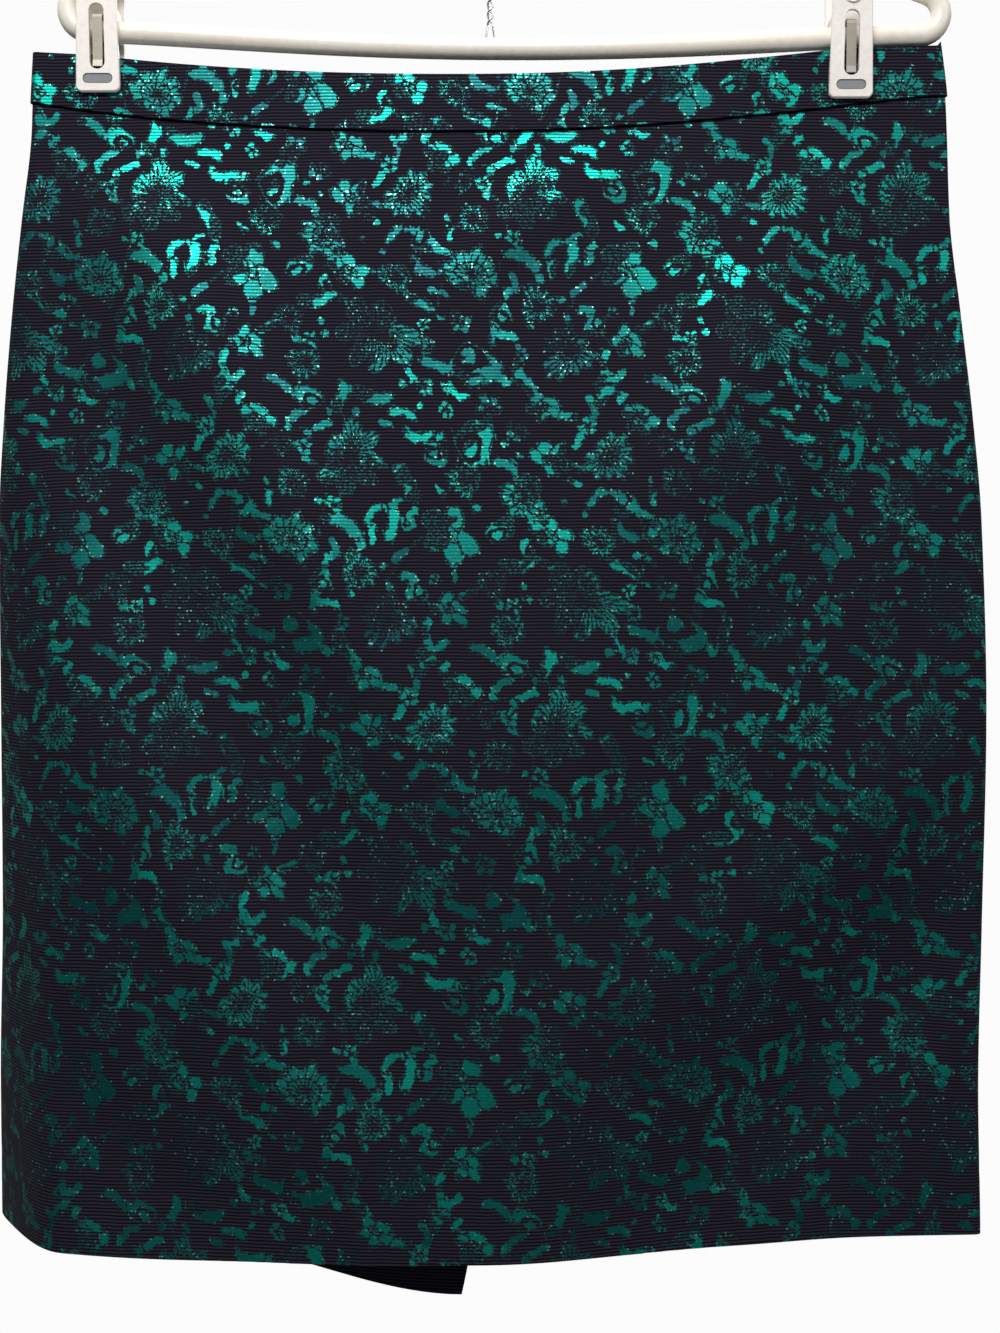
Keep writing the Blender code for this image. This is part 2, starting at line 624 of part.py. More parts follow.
def make_spring(side, centre):
    """A leaf spring bent over the bar, one leg in each jaw's slot."""
    leg_depth = outer_face(0.0) - JAW_THICKNESS * 0.72
    tilt = math.tan(math.radians(JAW_TILT))
    half = []
    knee = SPRING_TOP + SPRING_THICKNESS / 2
    for angle in (90.0, 60.0, 30.0, 0.0):
        turn = math.radians(angle)
        depth = leg_depth - SPRING_BEND + SPRING_BEND * math.cos(turn)
        half.append((depth, knee - SPRING_BEND + SPRING_BEND * math.sin(turn)))
    half.append((leg_depth + (SPRING_END + SPRING_CURL) * tilt, SPRING_END + SPRING_CURL))
    half.append((leg_depth + SPRING_END * tilt + SPRING_CURL_OUT, SPRING_END))
    line = [(-depth, height) for depth, height in reversed(half)] + half
    vertices = []
    faces = []
    for i, (depth, height) in enumerate(line):
        ahead = line[min(i + 1, len(line) - 1)]
        behind = line[max(i - 1, 0)]
        run = Vector((0.0, ahead[0] - behind[0], ahead[1] - behind[1])).normalized()
        half_leaf = Vector((0.0, run.z, -run.y)) * SPRING_THICKNESS / 2
        for across in (-SPRING_WIDTH / 2, SPRING_WIDTH / 2):
            middle = centre + Vector((across, depth, height))
            vertices += [middle - half_leaf, middle + half_leaf]
    count = len(line)
    for i in range(count - 1):
        a = 4 * i
        for p, q in ((0, 1), (2, 3), (0, 2), (1, 3)):
            faces.append([a + p, a + q, a + q + 4, a + p + 4])
    end = 4 * (count - 1)
    faces += [[0, 1, 3, 2], [end, end + 1, end + 3, end + 2]]
    link(f"clip_spring_{side}", mesh_from(f"clip_spring_{side}", vertices, faces), spring_steel(), 50)


def make_clips():
    tube_path = hanger_path()
    for side, across in CLIPS.items():
        centre = bar_axis(across)
        for front in (True, False):
            make_jaw(side, front, centre, tube_path)
            make_pad(side, front, centre)
        make_spring(side, centre)


# ---------------------------------------------------------------- cloth

def outline_at(drop):
    """The section's outline, in metres, at a drop in metres."""
    knots = [row.drop for row in OUTLINE]
    level = drop / MM
    values = [eased(knots, [row[i] for row in OUTLINE], level) * MM for i in range(1, 6)]
    return Outline(drop, *values)


def swell_at(table, drop, share):
    knots = [row.drop for row in table]
    level = drop / MM
    values = [eased(knots, [row[i] for row in table], level) for i in range(1, 8)]
    return eased(SWELL_SHARES, values, share) * MM


def rounding(distance, width):
    """0 at a side fold and 1 past its rounding, along a quarter of an ellipse."""
    t = min(1.0, max(0.0, distance / width))
    return math.sqrt(max(0.0, 1.0 - (1.0 - t) ** 2))


def fold_lift(folds, x, drop):
    """How far the drape folds lift the cloth at one place, all in metres."""
    total = 0.0
    for fold in folds:
        best = 1e9
        where = 0.0
        for i in range(FOLD_SAMPLES):
            t = i / (FOLD_SAMPLES - 1)
            px = (1 - t) ** 2 * fold.x0 + 2 * t * (1 - t) * fold.x1 + t * t * fold.x2
            pd = (1 - t) ** 2 * fold.drop0 + 2 * t * (1 - t) * fold.drop1 + t * t * fold.drop2
            away = (x / MM - px) ** 2 + (drop / MM - pd) ** 2
            if away < best:
                best = away
                where = t
        taper = 0.35 + 0.65 * math.sin(math.pi * min(1.0, max(0.0, where))) ** 0.8
        total += fold.height * taper * math.exp(-best / fold.width ** 2)
    return total * MM


def seam_share(share, width, proud):
    """A share of a proud or inset face's width, as a share of the skirt's own."""
    return min(1.0, max(0.0, (share * (width + 2 * proud) - proud) / width))


def sagging(share, left, right, sag, power, sharpness=1.0):
    """Height at a share of the width of an edge that sags between its two ends."""
    shape = max(0.0, 1.0 - abs(2.0 * share - 1.0) ** power) ** sharpness
    return left + (right - left) * share - sag * MM * shape


def waist_height(share, sag):
    sharpness = sag.waist_sharpness_left if share < 0.5 else sag.waist_sharpness_right
    return sagging(share, WAIST_LEFT, WAIST_RIGHT, sag.waist, WAIST_POWER, sharpness)


def hem_height(share, sag):
    return sagging(share, HEM_LEFT, HEM_RIGHT, sag.hem, sag.hem_power)


def surface_point(front, share, height, proud=0.0):
    """A point at a share of the width and a height, on the face that lies proud of the skirt's own."""
    drop = WAIST_LEVEL - height
    row = outline_at(drop)
    left = row.left - proud
    right = row.right + proud
    width = right - left
    x = left + width * share
    from_left = x - left
    from_right = right - x
    line = row.left_back * (1.0 - share)
    table = FRONT_SWELL if front else BACK_SWELL
    swell = swell_at(table, drop, share) + proud
    swell *= rounding(from_left, row.left_round + proud) * rounding(from_right, row.right_round + proud)
    folds = FRONT_FOLDS if front else BACK_FOLDS
    fade = ramp(0.0, FOLD_EDGE, from_left) * ramp(0.0, FOLD_EDGE, from_right)
    swell += fold_lift(folds, x, drop) * fade * ramp(FOLD_START, FOLD_FULL, drop) + GAP / 2
    return Vector((x, line - swell if front else line + swell, height))


def column_share(index, count, start, end, drop, proud, left_end, right_end):
    """The share of the width of one grid column: close together round a side fold, even between."""
    row = outline_at(drop)
    width = row.right - row.left + 2 * proud
    left_zone = (row.left_round + proud) / width if left_end else 0.0
    right_zone = (row.right_round + proud) / width if right_end else 0.0
    first = ROUND_STEPS if left_end else 0
    last = count - ROUND_STEPS if right_end else count
    if index < first:
        return start + left_zone * (1.0 - math.cos(math.pi / 2 * index / first))
    if index > last:
        return end - right_zone * (1.0 - math.cos(math.pi / 2 * (count - index) / ROUND_STEPS))
    low = start + left_zone
    high = end - right_zone
    return low + (high - low) * (index - first) / (last - first)


def wall_mesh(name, outer, inner):
    """A closed wall between the grids of its outer and its inner face."""
    rows = len(outer)
    columns = len(outer[0])
    vertices = [point for line in outer + inner for point in line]
    shift = rows * columns
    faces = []
    for r in range(rows - 1):
        for c in range(columns - 1):
            a = r * columns + c
            quad = [a, a + 1, a + columns + 1, a + columns]
            faces.append(quad)
            faces.append([i + shift for i in reversed(quad)])
    border = [(0, c) for c in range(columns)] + [(r, columns - 1) for r in range(1, rows)]
    border += [(rows - 1, c) for c in range(columns - 2, -1, -1)] + [(r, 0) for r in range(rows - 2, 0, -1)]
    for here, there in zip(border, border[1:] + border[:1]):
        a = here[0] * columns + here[1]
        b = there[0] * columns + there[1]
        faces.append([a, b, b + shift, a + shift])
    return mesh_from(name, vertices, faces)


def panel_rows(length):
    """Shares of the panel's length, with a pair of rows at the top of the hem's turning."""
    turn = 1.0 - HEM_TURN / length
    shares = [i / PANEL_ROWS for i in range(PANEL_ROWS + 1)]
    shares = [v for v in shares if abs(v - turn) > 0.4 / PANEL_ROWS]
    shares += [turn - 2.0 * MM / length, turn]
    return sorted(shares), turn


def panel_point(front, share, drop, v, sag, proud):
    """A panel's point at a share of a face's width and a share v of the panel's length."""
    row = outline_at(drop)
    seam = seam_share(share, row.right - row.left, proud)
    top = waist_height(seam, sag)
    return surface_point(front, share, top + (hem_height(seam, sag) - top) * v, proud)


def make_front_panel():
    length = WAIST_LEVEL - HEM_LEFT
    shares, turn = panel_rows(length)
    count = PANEL_COLUMNS + 2 * ROUND_STEPS
    faces = ([], [])
    for v in shares:
        drop = v * length
        wall = HEM_WALL if v >= turn else PANEL_WALL
        for face, proud in zip(faces, (0.0, -wall)):
            places = [column_share(c, count, 0.0, 1.0, drop, proud, True, True) for c in range(count + 1)]
            face.append([panel_point(True, share, drop, v, FRONT_SAG, proud) for share in places])
    link("front_panel", wall_mesh("front_panel", *faces), brocade(), 40)


def vent_shift(vent, v, x):
    """How far a vent's edge has swung at a share of the length, fading out across the panel."""
    top = 1.0 - VENT_LENGTH / (WAIST_LEVEL - HEM_LEFT)
    swing = max(0.0, (v - top) / (1.0 - top))
    near = math.exp(-(x / vent.fade) ** 2)
    return Vector((vent.side * swing ** vent.power * near, -vent.forward * swing ** 1.5 * near, 0.0))


def back_share(index, count, drop, proud, left_half):
    """The share of the width of a back panel's column; the one at the centre back stands apart."""
    row = outline_at(drop)
    width = row.right - row.left + 2 * proud
    middle = (proud - row.left) / width
    gap = GAP / 2 / width
    turned = VENT_TURN / width
    if left_half:
        if index == count:
            return middle - gap
        return column_share(index, count - 1, 0.0, middle - gap - turned, drop, proud, True, False)
    if index == 0:
        return middle + gap
    return column_share(index - 1, count - 1, middle + gap + turned, 1.0, drop, proud, False, True)


def make_back_panel(name, sag, vent, left_half):
    length = WAIST_LEVEL - HEM_LEFT
    shares, turn = panel_rows(length)
    vent_top = 1.0 - VENT_LENGTH / length
    shares = sorted([v for v in shares if abs(v - vent_top) > 0.3 / PANEL_ROWS] + [vent_top])
    count = PANEL_COLUMNS // 2 + 1 + ROUND_STEPS
    outer = []
    inner = []
    for v in shares:
        drop = v * length
        outer_line = []
        inner_line = []
        for c in range(count + 1):
            from_vent = count - c if left_half else c
            wall = HEM_WALL if v >= turn or (v > vent_top and from_vent <= 1) else PANEL_WALL
            share = back_share(c, count, drop, 0.0, left_half)
            outside = panel_point(False, share, drop, v, sag, 0.0)
            share = back_share(c, count, drop, -wall, left_half)
            inside = panel_point(False, share, drop, v, sag, -wall)
            if from_vent == 0:
                inside.x = outside.x
            shift = vent_shift(vent, v, outside.x)
            outer_line.append(outside + shift)
            inner_line.append(inside + shift)
        outer.append(outer_line)
        inner.append(inner_line)
    link(name, wall_mesh(name, outer, inner), brocade(), 40)


def band_height(share):
    """The waistband's height at a share of the width, before the tube above it is allowed for."""
    return eased(BAND_SHARES, BAND_HEIGHTS, share)


def band_edges(share, sag, proud):
    """Heights of the waistband's lower and upper edge; the upper stays clear of the tube."""
    row = outline_at(0.0)
    seam = seam_share(share, row.right - row.left, proud)
    bottom = waist_height(seam, sag) + GAP
    top = bottom + band_height(seam)
    row = outline_at(WAIST_LEVEL - top)
    across = row.left - proud + (row.right - row.left + 2 * proud) * share
    to_fold = row.right + BAND_PROUD - across
    across -= BAND_LAG * min(1.0, to_fold / (row.right_round + BAND_PROUD))
    return bottom, min(top, under_tube(across) - BAND_CLEAR)


def make_band(name, front, sag, start, end):
    """One length of the waistband; start and end are 0, 1 or None for the centre back."""
    left_end = start == 0.0
    right_end = end == 1.0
    full = left_end and right_end
    count = (PANEL_COLUMNS if full else PANEL_COLUMNS // 2) + ROUND_STEPS * (left_end + right_end)
    row = outline_at(0.0)
    faces = []
    for proud in (BAND_PROUD, BAND_PROUD - BAND_WALL):
        width = row.right - row.left + 2 * proud
        middle = (proud - row.left) / width
        gap = GAP / 2 / width
        low = start if left_end else middle + gap
        high = end if right_end else middle - gap
        grid = []
        for r in range(BAND_ROWS + 1):
            line = []
            for c in range(count + 1):
                share = column_share(c, count, low, high, 0.0, proud, left_end, right_end)
                bottom, top = band_edges(share, sag, proud)
                height = bottom + (top - bottom) * (1.0 - r / BAND_ROWS)
                line.append(surface_point(front, share, height, proud))
            if not full:
                line[-1 if left_end else 0].x = (-GAP if left_end else GAP) / 2
            grid.append(line)
        faces.append(grid)
    link(name, wall_mesh(name, *faces), brocade(), 40)


def make_cloth():
    make_front_panel()
    make_back_panel("back_panel_left", BACK_LEFT_SAG, LEFT_VENT, True)
    make_back_panel("back_panel_right", BACK_RIGHT_SAG, RIGHT_VENT, False)
    make_band("waistband_front", True, FRONT_SAG, 0.0, 1.0)
    make_band("waistband_back_left", False, BACK_LEFT_SAG, 0.0, None)
    make_band("waistband_back_right", False, BACK_RIGHT_SAG, None, 1.0)


# ---------------------------------------------------------------- zip

def zip_place():
    """The slider's seat on the waistband at the centre back, and the cloth's lean there."""
    height = waist_height(0.5, BACK_LEFT_SAG) + GAP + BAND_HEIGHT - SLIDER_DROP
    here = surface_point(False, 0.5, height, BAND_PROUD)
    below = surface_point(False, 0.5, height - SLIDER_HEIGHT, BAND_PROUD)
    lean = math.atan2(below.y - here.y, here.z - below.z)
    return Vector((0.0, here.y + 2 * GAP, height)), lean


def make_zip():
    """The slider is drawn upright at the origin, its back at depth zero, then set on the cloth."""
    seat, lean = zip_place()
    half_w = SLIDER_WIDTH / 2
    half_h = SLIDER_HEIGHT / 2
    right = [(half_w * across, half_h * height) for across, height in SLIDER_OUTLINE]
    body = right + [(-across, height) for across, height in reversed(right)]
    slider = link("zip_slider", prism("zip_slider", body, "Y", 0.0, SLIDER_BODY), zip_metal(), 35)
    root = SLIDER_BODY - BRIDGE_ROOT
    reach = SLIDER_BODY + BRIDGE_HEIGHT
    half_b = BRIDGE_LENGTH / 2
    inside = half_b - BRIDGE_WALL
    upper = [(reach, half_b - BRIDGE_BEND), (reach - BRIDGE_BEND, half_b), (root, half_b)]
    upper += [(root, inside), (reach - BRIDGE_WALL, inside)]
    bridge = upper + [(depth, -height) for depth, height in reversed(upper)]
    half_bridge = BRIDGE_WIDTH / 2
    arch = link("zip_bridge", prism("zip_bridge", bridge, "X", -half_bridge, half_bridge), zip_metal())
    combine(slider, arch, "UNION")
    turn = Matrix.Rotation(lean, 3, "X")
    for piece in [slider, arch] + make_tab():
        piece.rotation_euler = (lean, 0.0, 0.0)
        piece.location = seat + turn @ piece.location


def make_tab():
    """A pin through the bridge, two legs, and a leaf-shaped pull below; its origin is the pin's axis."""
    half_t = TAB_THICKNESS / 2
    round_radius = TAB_WIDTH / 2
    outline = [(-TAB_TOP_WIDTH / 2, TAB_PIN_RADIUS), (-TAB_TOP_WIDTH / 2, -TAB_LOOP)]
    for i in range(TAB_END_STEPS + 1):
        angle = math.pi * (1.0 + i / TAB_END_STEPS)
        height = -TAB_LENGTH + round_radius * (1.0 + math.sin(angle))
        outline.append((round_radius * math.cos(angle), height))
    outline += [(TAB_TOP_WIDTH / 2, -TAB_LOOP), (TAB_TOP_WIDTH / 2, TAB_PIN_RADIUS)]
    tab = link("zip_tab", prism("zip_tab", outline, "Y", -half_t, half_t), zip_metal(), 35)
    leg = TAB_TOP_WIDTH / 2 - TAB_WIRE
    window = [(-leg, -TAB_PIN_RADIUS), (leg, -TAB_PIN_RADIUS), (leg, -TAB_LOOP), (-leg, -TAB_LOOP)]
    cut = prism("zip_tab_window", window, "Y", -TAB_THICKNESS, TAB_THICKNESS)
    hole = link("zip_tab_window", cut, zip_metal())
    combine(tab, hole, "DIFFERENCE")
    clear = TAB_PIN_RADIUS + GAP
    depth = SLIDER_BODY + BRIDGE_HEIGHT - BRIDGE_WALL - clear
    for piece in (tab, hole):
        piece.location = (0.0, depth, -BRIDGE_LENGTH / 2 + BRIDGE_WALL + clear)
    return [tab, hole]


def main():
    clear_scene()
    make_hanger()
    make_clips()
    make_cloth()
    make_zip()


main()
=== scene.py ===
"""A pencil skirt of dark ribbed cloth with woven metallic flowers, held by the two pinch clips of a
cream tube hanger. Laid out as an add-on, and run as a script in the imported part's frame."""
import math

import bmesh
import bpy
import numpy as np
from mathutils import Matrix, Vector


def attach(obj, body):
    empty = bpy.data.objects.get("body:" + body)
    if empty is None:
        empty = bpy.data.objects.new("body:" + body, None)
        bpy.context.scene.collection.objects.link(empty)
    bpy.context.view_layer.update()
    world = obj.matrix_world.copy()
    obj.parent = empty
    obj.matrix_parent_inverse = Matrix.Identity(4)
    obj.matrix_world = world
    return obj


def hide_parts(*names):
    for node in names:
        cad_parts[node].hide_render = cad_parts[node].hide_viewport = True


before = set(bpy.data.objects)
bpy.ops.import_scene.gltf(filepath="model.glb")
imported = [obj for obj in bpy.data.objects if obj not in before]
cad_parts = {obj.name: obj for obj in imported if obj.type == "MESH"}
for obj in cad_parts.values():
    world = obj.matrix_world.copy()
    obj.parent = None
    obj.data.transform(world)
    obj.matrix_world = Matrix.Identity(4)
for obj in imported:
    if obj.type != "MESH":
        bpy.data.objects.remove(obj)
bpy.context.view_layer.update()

bl_info = {
    "name": "Pencil skirt on a clip hanger",
    "version": (1, 0, 0),
    "blender": (4, 5, 0),
    "location": "View3D > Sidebar > Skirt",
    "description": "Builds the skirt's cloth, its hanger, clips, zip and a plain studio",
    "category": "Object",
}

MM = 0.001
MAIN_BODY = "skirt_on_hanger"


# ---------------- the cloth's shape
# Sizes are in millimetres, and a drop is measured down from the waist's level.

GAP = 0.3
PANEL_WALL = 1.4
BAND_WALL = 2.4
HEM_WALL = 2.6
HEM_TURN = 30.0
BAND_PROUD = 1.0
BAND_SHARES = (0.0, 0.08, 0.5, 0.88, 1.0)
BAND_HEIGHTS = (23.6, 26.2, 27.0, 26.4, 25.4)
BAND_CLEAR = 2 * GAP
BAND_LAG = 6.0
WAIST_LEFT = -231.3
WAIST_RIGHT = -227.9
WAIST_LEVEL = -229.5
HEM_LEFT = -768.7
HEM_RIGHT = -767.0
PANEL_LENGTH = WAIST_LEVEL - HEM_LEFT
VENT_LENGTH = 175.0
TUBE_RADIUS = 5.1
BEND_RADIUS = 10.3
BAR_DROP = 198.0
LEFT_BEND = (-190.2, -BAR_DROP + 11.4)
RIGHT_BEND = (203.5, -BAR_DROP + 9.5)
BAR_SAG = 7.3
BAR_SAG_SHARPNESS = 1.5
NECK_DROP = 104.0
FOLD_START = 8.0
FOLD_FULL = 60.0
FOLD_EDGE = 30.0
FOLD_SAMPLES = 33
LEFT_ROUND_STEPS = 36
RIGHT_ROUND_STEPS = 9
VENT_LIFT_POWER = 1.5

# waist sag, its sharpness left and right of the middle, hem sag, hem power
FRONT_SAG = (17.3, 1.0, 1.5, 0.0, 2.0)
BACK_LEFT_SAG = (34.0, 1.0, 1.0, 37.0, 1.6)
BACK_RIGHT_SAG = (34.0, 1.0, 1.0, 26.0, 1.6)
# side shift, forward shift, fade, power
LEFT_VENT = (-14.0, 35.0, 90.0, 3.0)
RIGHT_VENT = (9.0, 6.0, 70.0, 2.0)

# drop, left fold, right fold, left fold's depth, left rounding, right rounding
OUTLINE = np.array([
    (-34, -215.6, 212, 0, 1.9, 1.9),
    (0, -217.4, 216, 0, 1.9, 1.9),
    (14, -217.9, 216.6, 0.4, 2.1, 1.9),
    (55, -223.2, 217.9, 3.2, 7, 3),
    (100, -228.8, 223, 6.6, 12, 5),
    (150, -233.9, 228.8, 11, 17, 6),
    (200, -237.4, 233, 15.5, 22, 7),
    (290, -238.5, 235.3, 23, 30, 6),
    (390, -240, 233.2, 32, 38, 4.4),
    (470, -242.8, 231.5, 39, 43, 3.8),
    (540, -243.6, 232.5, 45, 45, 3.6),
    (590, -243.6, 232.5, 46, 45, 3.6),
])
SWELL_SHARES = (0.0, 0.10, 0.25, 0.50, 0.75, 0.87, 1.0)
FRONT_SWELL = np.array([
    (-34, 1.9, 1.9, 3.6, 6, 3.8, 1.9, 1.9),
    (0, 1.9, 1.9, 4.6, 8, 5, 1.9, 1.9),
    (14, 2.1, 2.2, 5.6, 9.4, 6, 2.1, 1.9),
    (70, 6, 10, 14, 16, 12, 6.5, 3.5),
    (150, 10, 21, 26, 28, 22, 12, 6),
    (230, 14, 32, 38, 39, 29, 15, 7),
    (320, 19, 43, 50, 49, 33, 16, 6),
    (420, 24, 55, 62, 58, 33, 15, 4.2),
    (500, 28, 63, 70, 65, 32, 13.5, 3.8),
    (540, 30, 67, 73.5, 67.5, 31, 13, 3.6),
    (590, 30, 67, 73.5, 67.5, 31, 13, 3.6),
])
BACK_SWELL = np.array([
    (-34, 1.9, 1.9, 6, 11, 7, 1.9, 1.9),
    (0, 1.9, 1.9, 7, 13, 8, 1.9, 1.9),
    (18, 2.1, 2.2, 8.5, 15, 10, 2.1, 1.9),
    (70, 4, 8, 18, 25, 20, 9, 3.5),
    (150, 7, 16, 29, 38, 33, 19, 6),
    (230, 9, 21, 37, 46, 42, 25, 7),
    (320, 11, 23, 38, 46, 44, 27, 6),
    (420, 12, 23, 36, 42, 42, 26, 4.2),
    (500, 12, 23, 35, 39, 41, 24, 3.8),
    (540, 12, 23, 34, 38, 40, 23, 3.6),
    (590, 12, 23, 34, 38, 40, 23, 3.6),
])
# start, middle and end as place across and drop, then height and half width
FRONT_FOLDS = (
    (-186, 15, -120, 150, -25, 330, 5.0, 26),
    (-214, 90, -140, 240, -40, 440, -5.0, 30),
    (-226, 235, -150, 350, -60, 520, 4.5, 28),
    (-228, 385, -190, 500, -90, 545, -4.0, 26),
    (172, 15, 120, 120, 75, 215, 4.0, 24),
    (214, 95, 160, 210, 90, 310, -3.0, 26),
    (228, 285, 150, 370, 40, 440, 5.0, 28),
    (228, 365, 165, 460, 60, 530, -6.0, 32),
    (70, 20, 20, 50, -25, 95, 2.2, 16),
)
BACK_FOLDS = (
    (-186, 20, -130, 140, -40, 300, 4.0, 26),
    (-214, 110, -140, 250, -50, 400, -4.0, 30),
    (172, 20, 125, 150, 45, 290, 4.5, 26),
    (212, 120, 160, 260, 60, 410, -4.5, 30),
    (220, 320, 150, 410, 60, 500, 4.0, 28),
    (-200, 330, -150, 430, -70, 520, 3.5, 28),
)


def eased(knots, values, x):
    """Smooth curves through rows of values (last axis over the knots) that never swing past them."""
    knots = np.asarray(knots, float)
    values = np.broadcast_to(values, x.shape + (len(knots),))
    x = np.clip(x, knots[0], knots[-1])
    k = np.clip(np.searchsorted(knots, x, side="right") - 1, 0, len(knots) - 2)
    steps = np.diff(knots)
    slopes = np.diff(values, axis=-1) / steps
    tangents = np.zeros(values.shape)
    tangents[..., 0] = slopes[..., 0]
    tangents[..., -1] = slopes[..., -1]
    before = 2.0 * steps[1:] + steps[:-1]
    after = steps[1:] + 2.0 * steps[:-1]
    product = slopes[..., :-1] * slopes[..., 1:]
    safe = product > 0.0
    low = np.where(safe, slopes[..., :-1], 1.0)
    high = np.where(safe, slopes[..., 1:], 1.0)
    tangents[..., 1:-1] = np.where(safe, (before + after) / (before / low + after / high), 0.0)

    def at(table, shift=0):
        return np.take_along_axis(table, (k + shift)[..., None], axis=-1)[..., 0]

    span = steps[k]
    t = (x - knots[k]) / span
    rise = at(values) * (2 * t ** 3 - 3 * t ** 2 + 1) + at(values, 1) * (3 * t ** 2 - 2 * t ** 3)
    return rise + span * (at(tangents) * (t ** 3 - 2 * t ** 2 + t) + at(tangents, 1) * (t ** 3 - t ** 2))


def ramp(low, high, x):
    t = np.clip((x - low) / (high - low), 0.0, 1.0)
    return t * t * (3.0 - 2.0 * t)


def outline_at(drop):
    """Left fold, right fold, left fold's depth and both roundings, at each drop in millimetres."""
    return [eased(OUTLINE[:, 0], OUTLINE[:, i], drop) for i in range(1, 6)]


def swell_at(table, drop, share):
    rows = np.stack([eased(table[:, 0], table[:, i], drop) for i in range(1, 8)], axis=-1)
    return eased(SWELL_SHARES, rows, share)


def rounding(distance, width):
    t = np.clip(distance / width, 0.0, 1.0)
    return np.sqrt(np.maximum(0.0, 1.0 - (1.0 - t) ** 2))


def bezier(t, start, pull, end):
    return (1 - t) ** 2 * start + 2 * t * (1 - t) * pull + t * t * end


def fold_lift(folds, x, drop):
    total = np.zeros(x.shape)
    for x0, drop0, x1, drop1, x2, drop2, height, width in folds:
        best = np.full(x.shape, 1e9)
        where = np.zeros(x.shape)
        for t in np.linspace(0.0, 1.0, FOLD_SAMPLES):
            away = (x - bezier(t, x0, x1, x2)) ** 2 + (drop - bezier(t, drop0, drop1, drop2)) ** 2
            nearer = away < best
            best = np.where(nearer, away, best)
            where = np.where(nearer, t, where)
        taper = 0.35 + 0.65 * np.sin(math.pi * where) ** 0.8
        total += height * taper * np.exp(-best / width ** 2)
    return total


def sagging(share, left, right, sag, power, sharpness=1.0):
    shape = np.maximum(0.0, 1.0 - np.abs(2.0 * share - 1.0) ** power) ** sharpness
    return left + (right - left) * share - sag * shape


def waist_height(share, sag):
    sharpness = np.where(share < 0.5, sag[1], sag[2])
    return sagging(share, WAIST_LEFT, WAIST_RIGHT, sag[0], 2.0, sharpness)


def hem_height(share, sag):
    return sagging(share, HEM_LEFT, HEM_RIGHT, sag[3], sag[4])


def surface(front, share, height, proud):
    """Points on the face that lies proud of the skirt's own; all in millimetres."""
    drop = WAIST_LEVEL - height
    left, right, left_back, left_round, right_round = outline_at(drop)
    left = left - proud
    right = right + proud
    x = left + (right - left) * share
    line = left_back * (1.0 - share)
    swell = swell_at(FRONT_SWELL if front else BACK_SWELL, drop, share) + proud
    swell *= rounding(x - left, left_round + proud) * rounding(right - x, right_round + proud)
    fade = ramp(0.0, FOLD_EDGE, x - left) * ramp(0.0, FOLD_EDGE, right - x)
    lift = fold_lift(FRONT_FOLDS if front else BACK_FOLDS, x, drop)
    swell += lift * fade * ramp(FOLD_START, FOLD_FULL, drop) + GAP / 2
    return np.stack([x, line - swell if front else line + swell, height], axis=-1)


def row_shares(count, drop, proud, start_end, thin):
    """A row's columns as shares of its width, close together round a side fold, and of its seam."""
    left, right, _, left_round, right_round = (value[0] for value in outline_at(np.array([drop])))
    start, end, left_end, right_end = start_end(left - proud, right + proud)
    width = right - left + 2 * proud
    low = start + (left_round + proud) / width if left_end else start
    high = end - (right_round + proud) / width if right_end else end
    shares = np.linspace(low, high, count)
    if left_end:
        turn = 1.0 - np.cos(np.linspace(0.0, math.pi / 2, LEFT_ROUND_STEPS // thin + 1)[:-1])
        shares = np.concatenate([start + (low - start) * turn, shares])
    if right_end:
        turn = 1.0 - np.cos(np.linspace(0.0, math.pi / 2, RIGHT_ROUND_STEPS // thin + 1)[:-1])
        shares = np.concatenate([shares, end - (end - high) * turn[::-1]])
    return shares, np.clip((shares * width - proud) / (right - left), 0.0, 1.0)


def panel_grid(front, rows, columns, proud_at, sag, start_end, thin):
    """A panel's face: rows are shares of the length, and proud_at gives a row's offset."""
    grid = []
    for v in rows:
        proud = proud_at(v)
        share, seam = row_shares(columns, v * PANEL_LENGTH, proud, start_end, thin)
        top = waist_height(seam, sag)
        grid.append(surface(front, share, top + (hem_height(seam, sag) - top) * v, proud))
    return np.array(grid)


def bar_height(x):
    """The height of the sagging bar's axis."""
    low = LEFT_BEND[1] - BEND_RADIUS
    high = RIGHT_BEND[1] - BEND_RADIUS
    share = (x - LEFT_BEND[0]) / (RIGHT_BEND[0] - LEFT_BEND[0])
    u = 2.0 * share - 1.0
    return low + (high - low) * share - BAR_SAG * np.maximum(0.0, 1.0 - u * u) ** BAR_SAG_SHARPNESS


def under_tube(x):
    past = np.maximum(0.0, x - RIGHT_BEND[0])
    outer = BEND_RADIUS + TUBE_RADIUS
    bend = RIGHT_BEND[1] - np.sqrt(np.maximum(0.0, outer * outer - past * past))
    return np.where(x <= RIGHT_BEND[0], bar_height(x) - TUBE_RADIUS, bend)


def band_grid(front, rows, columns, proud, sag, start_end, thin):
    """A waistband's face: rows are shares of its height, and its top stays under the tube."""
    share, seam = row_shares(columns, 0.0, proud, start_end, thin)
    bottom = waist_height(seam, sag) + GAP
    top = bottom + eased(BAND_SHARES, np.array(BAND_HEIGHTS), seam)
    low, high, _, _, right_round = outline_at(WAIST_LEVEL - top)
    across = low - proud + (high - low + 2 * proud) * share
    lag = BAND_LAG * np.minimum(1.0, (high + BAND_PROUD - across) / (right_round + BAND_PROUD))
    top = np.minimum(top, under_tube(across - lag) - BAND_CLEAR)
    return np.array([surface(front, share, bottom + (top - bottom) * (1.0 - r), proud) for r in rows])


def whole_width(left, right):
    return 0.0, 1.0, True, True


def left_half(left, right):
    return 0.0, (-GAP / 2 - left) / (right - left), True, False


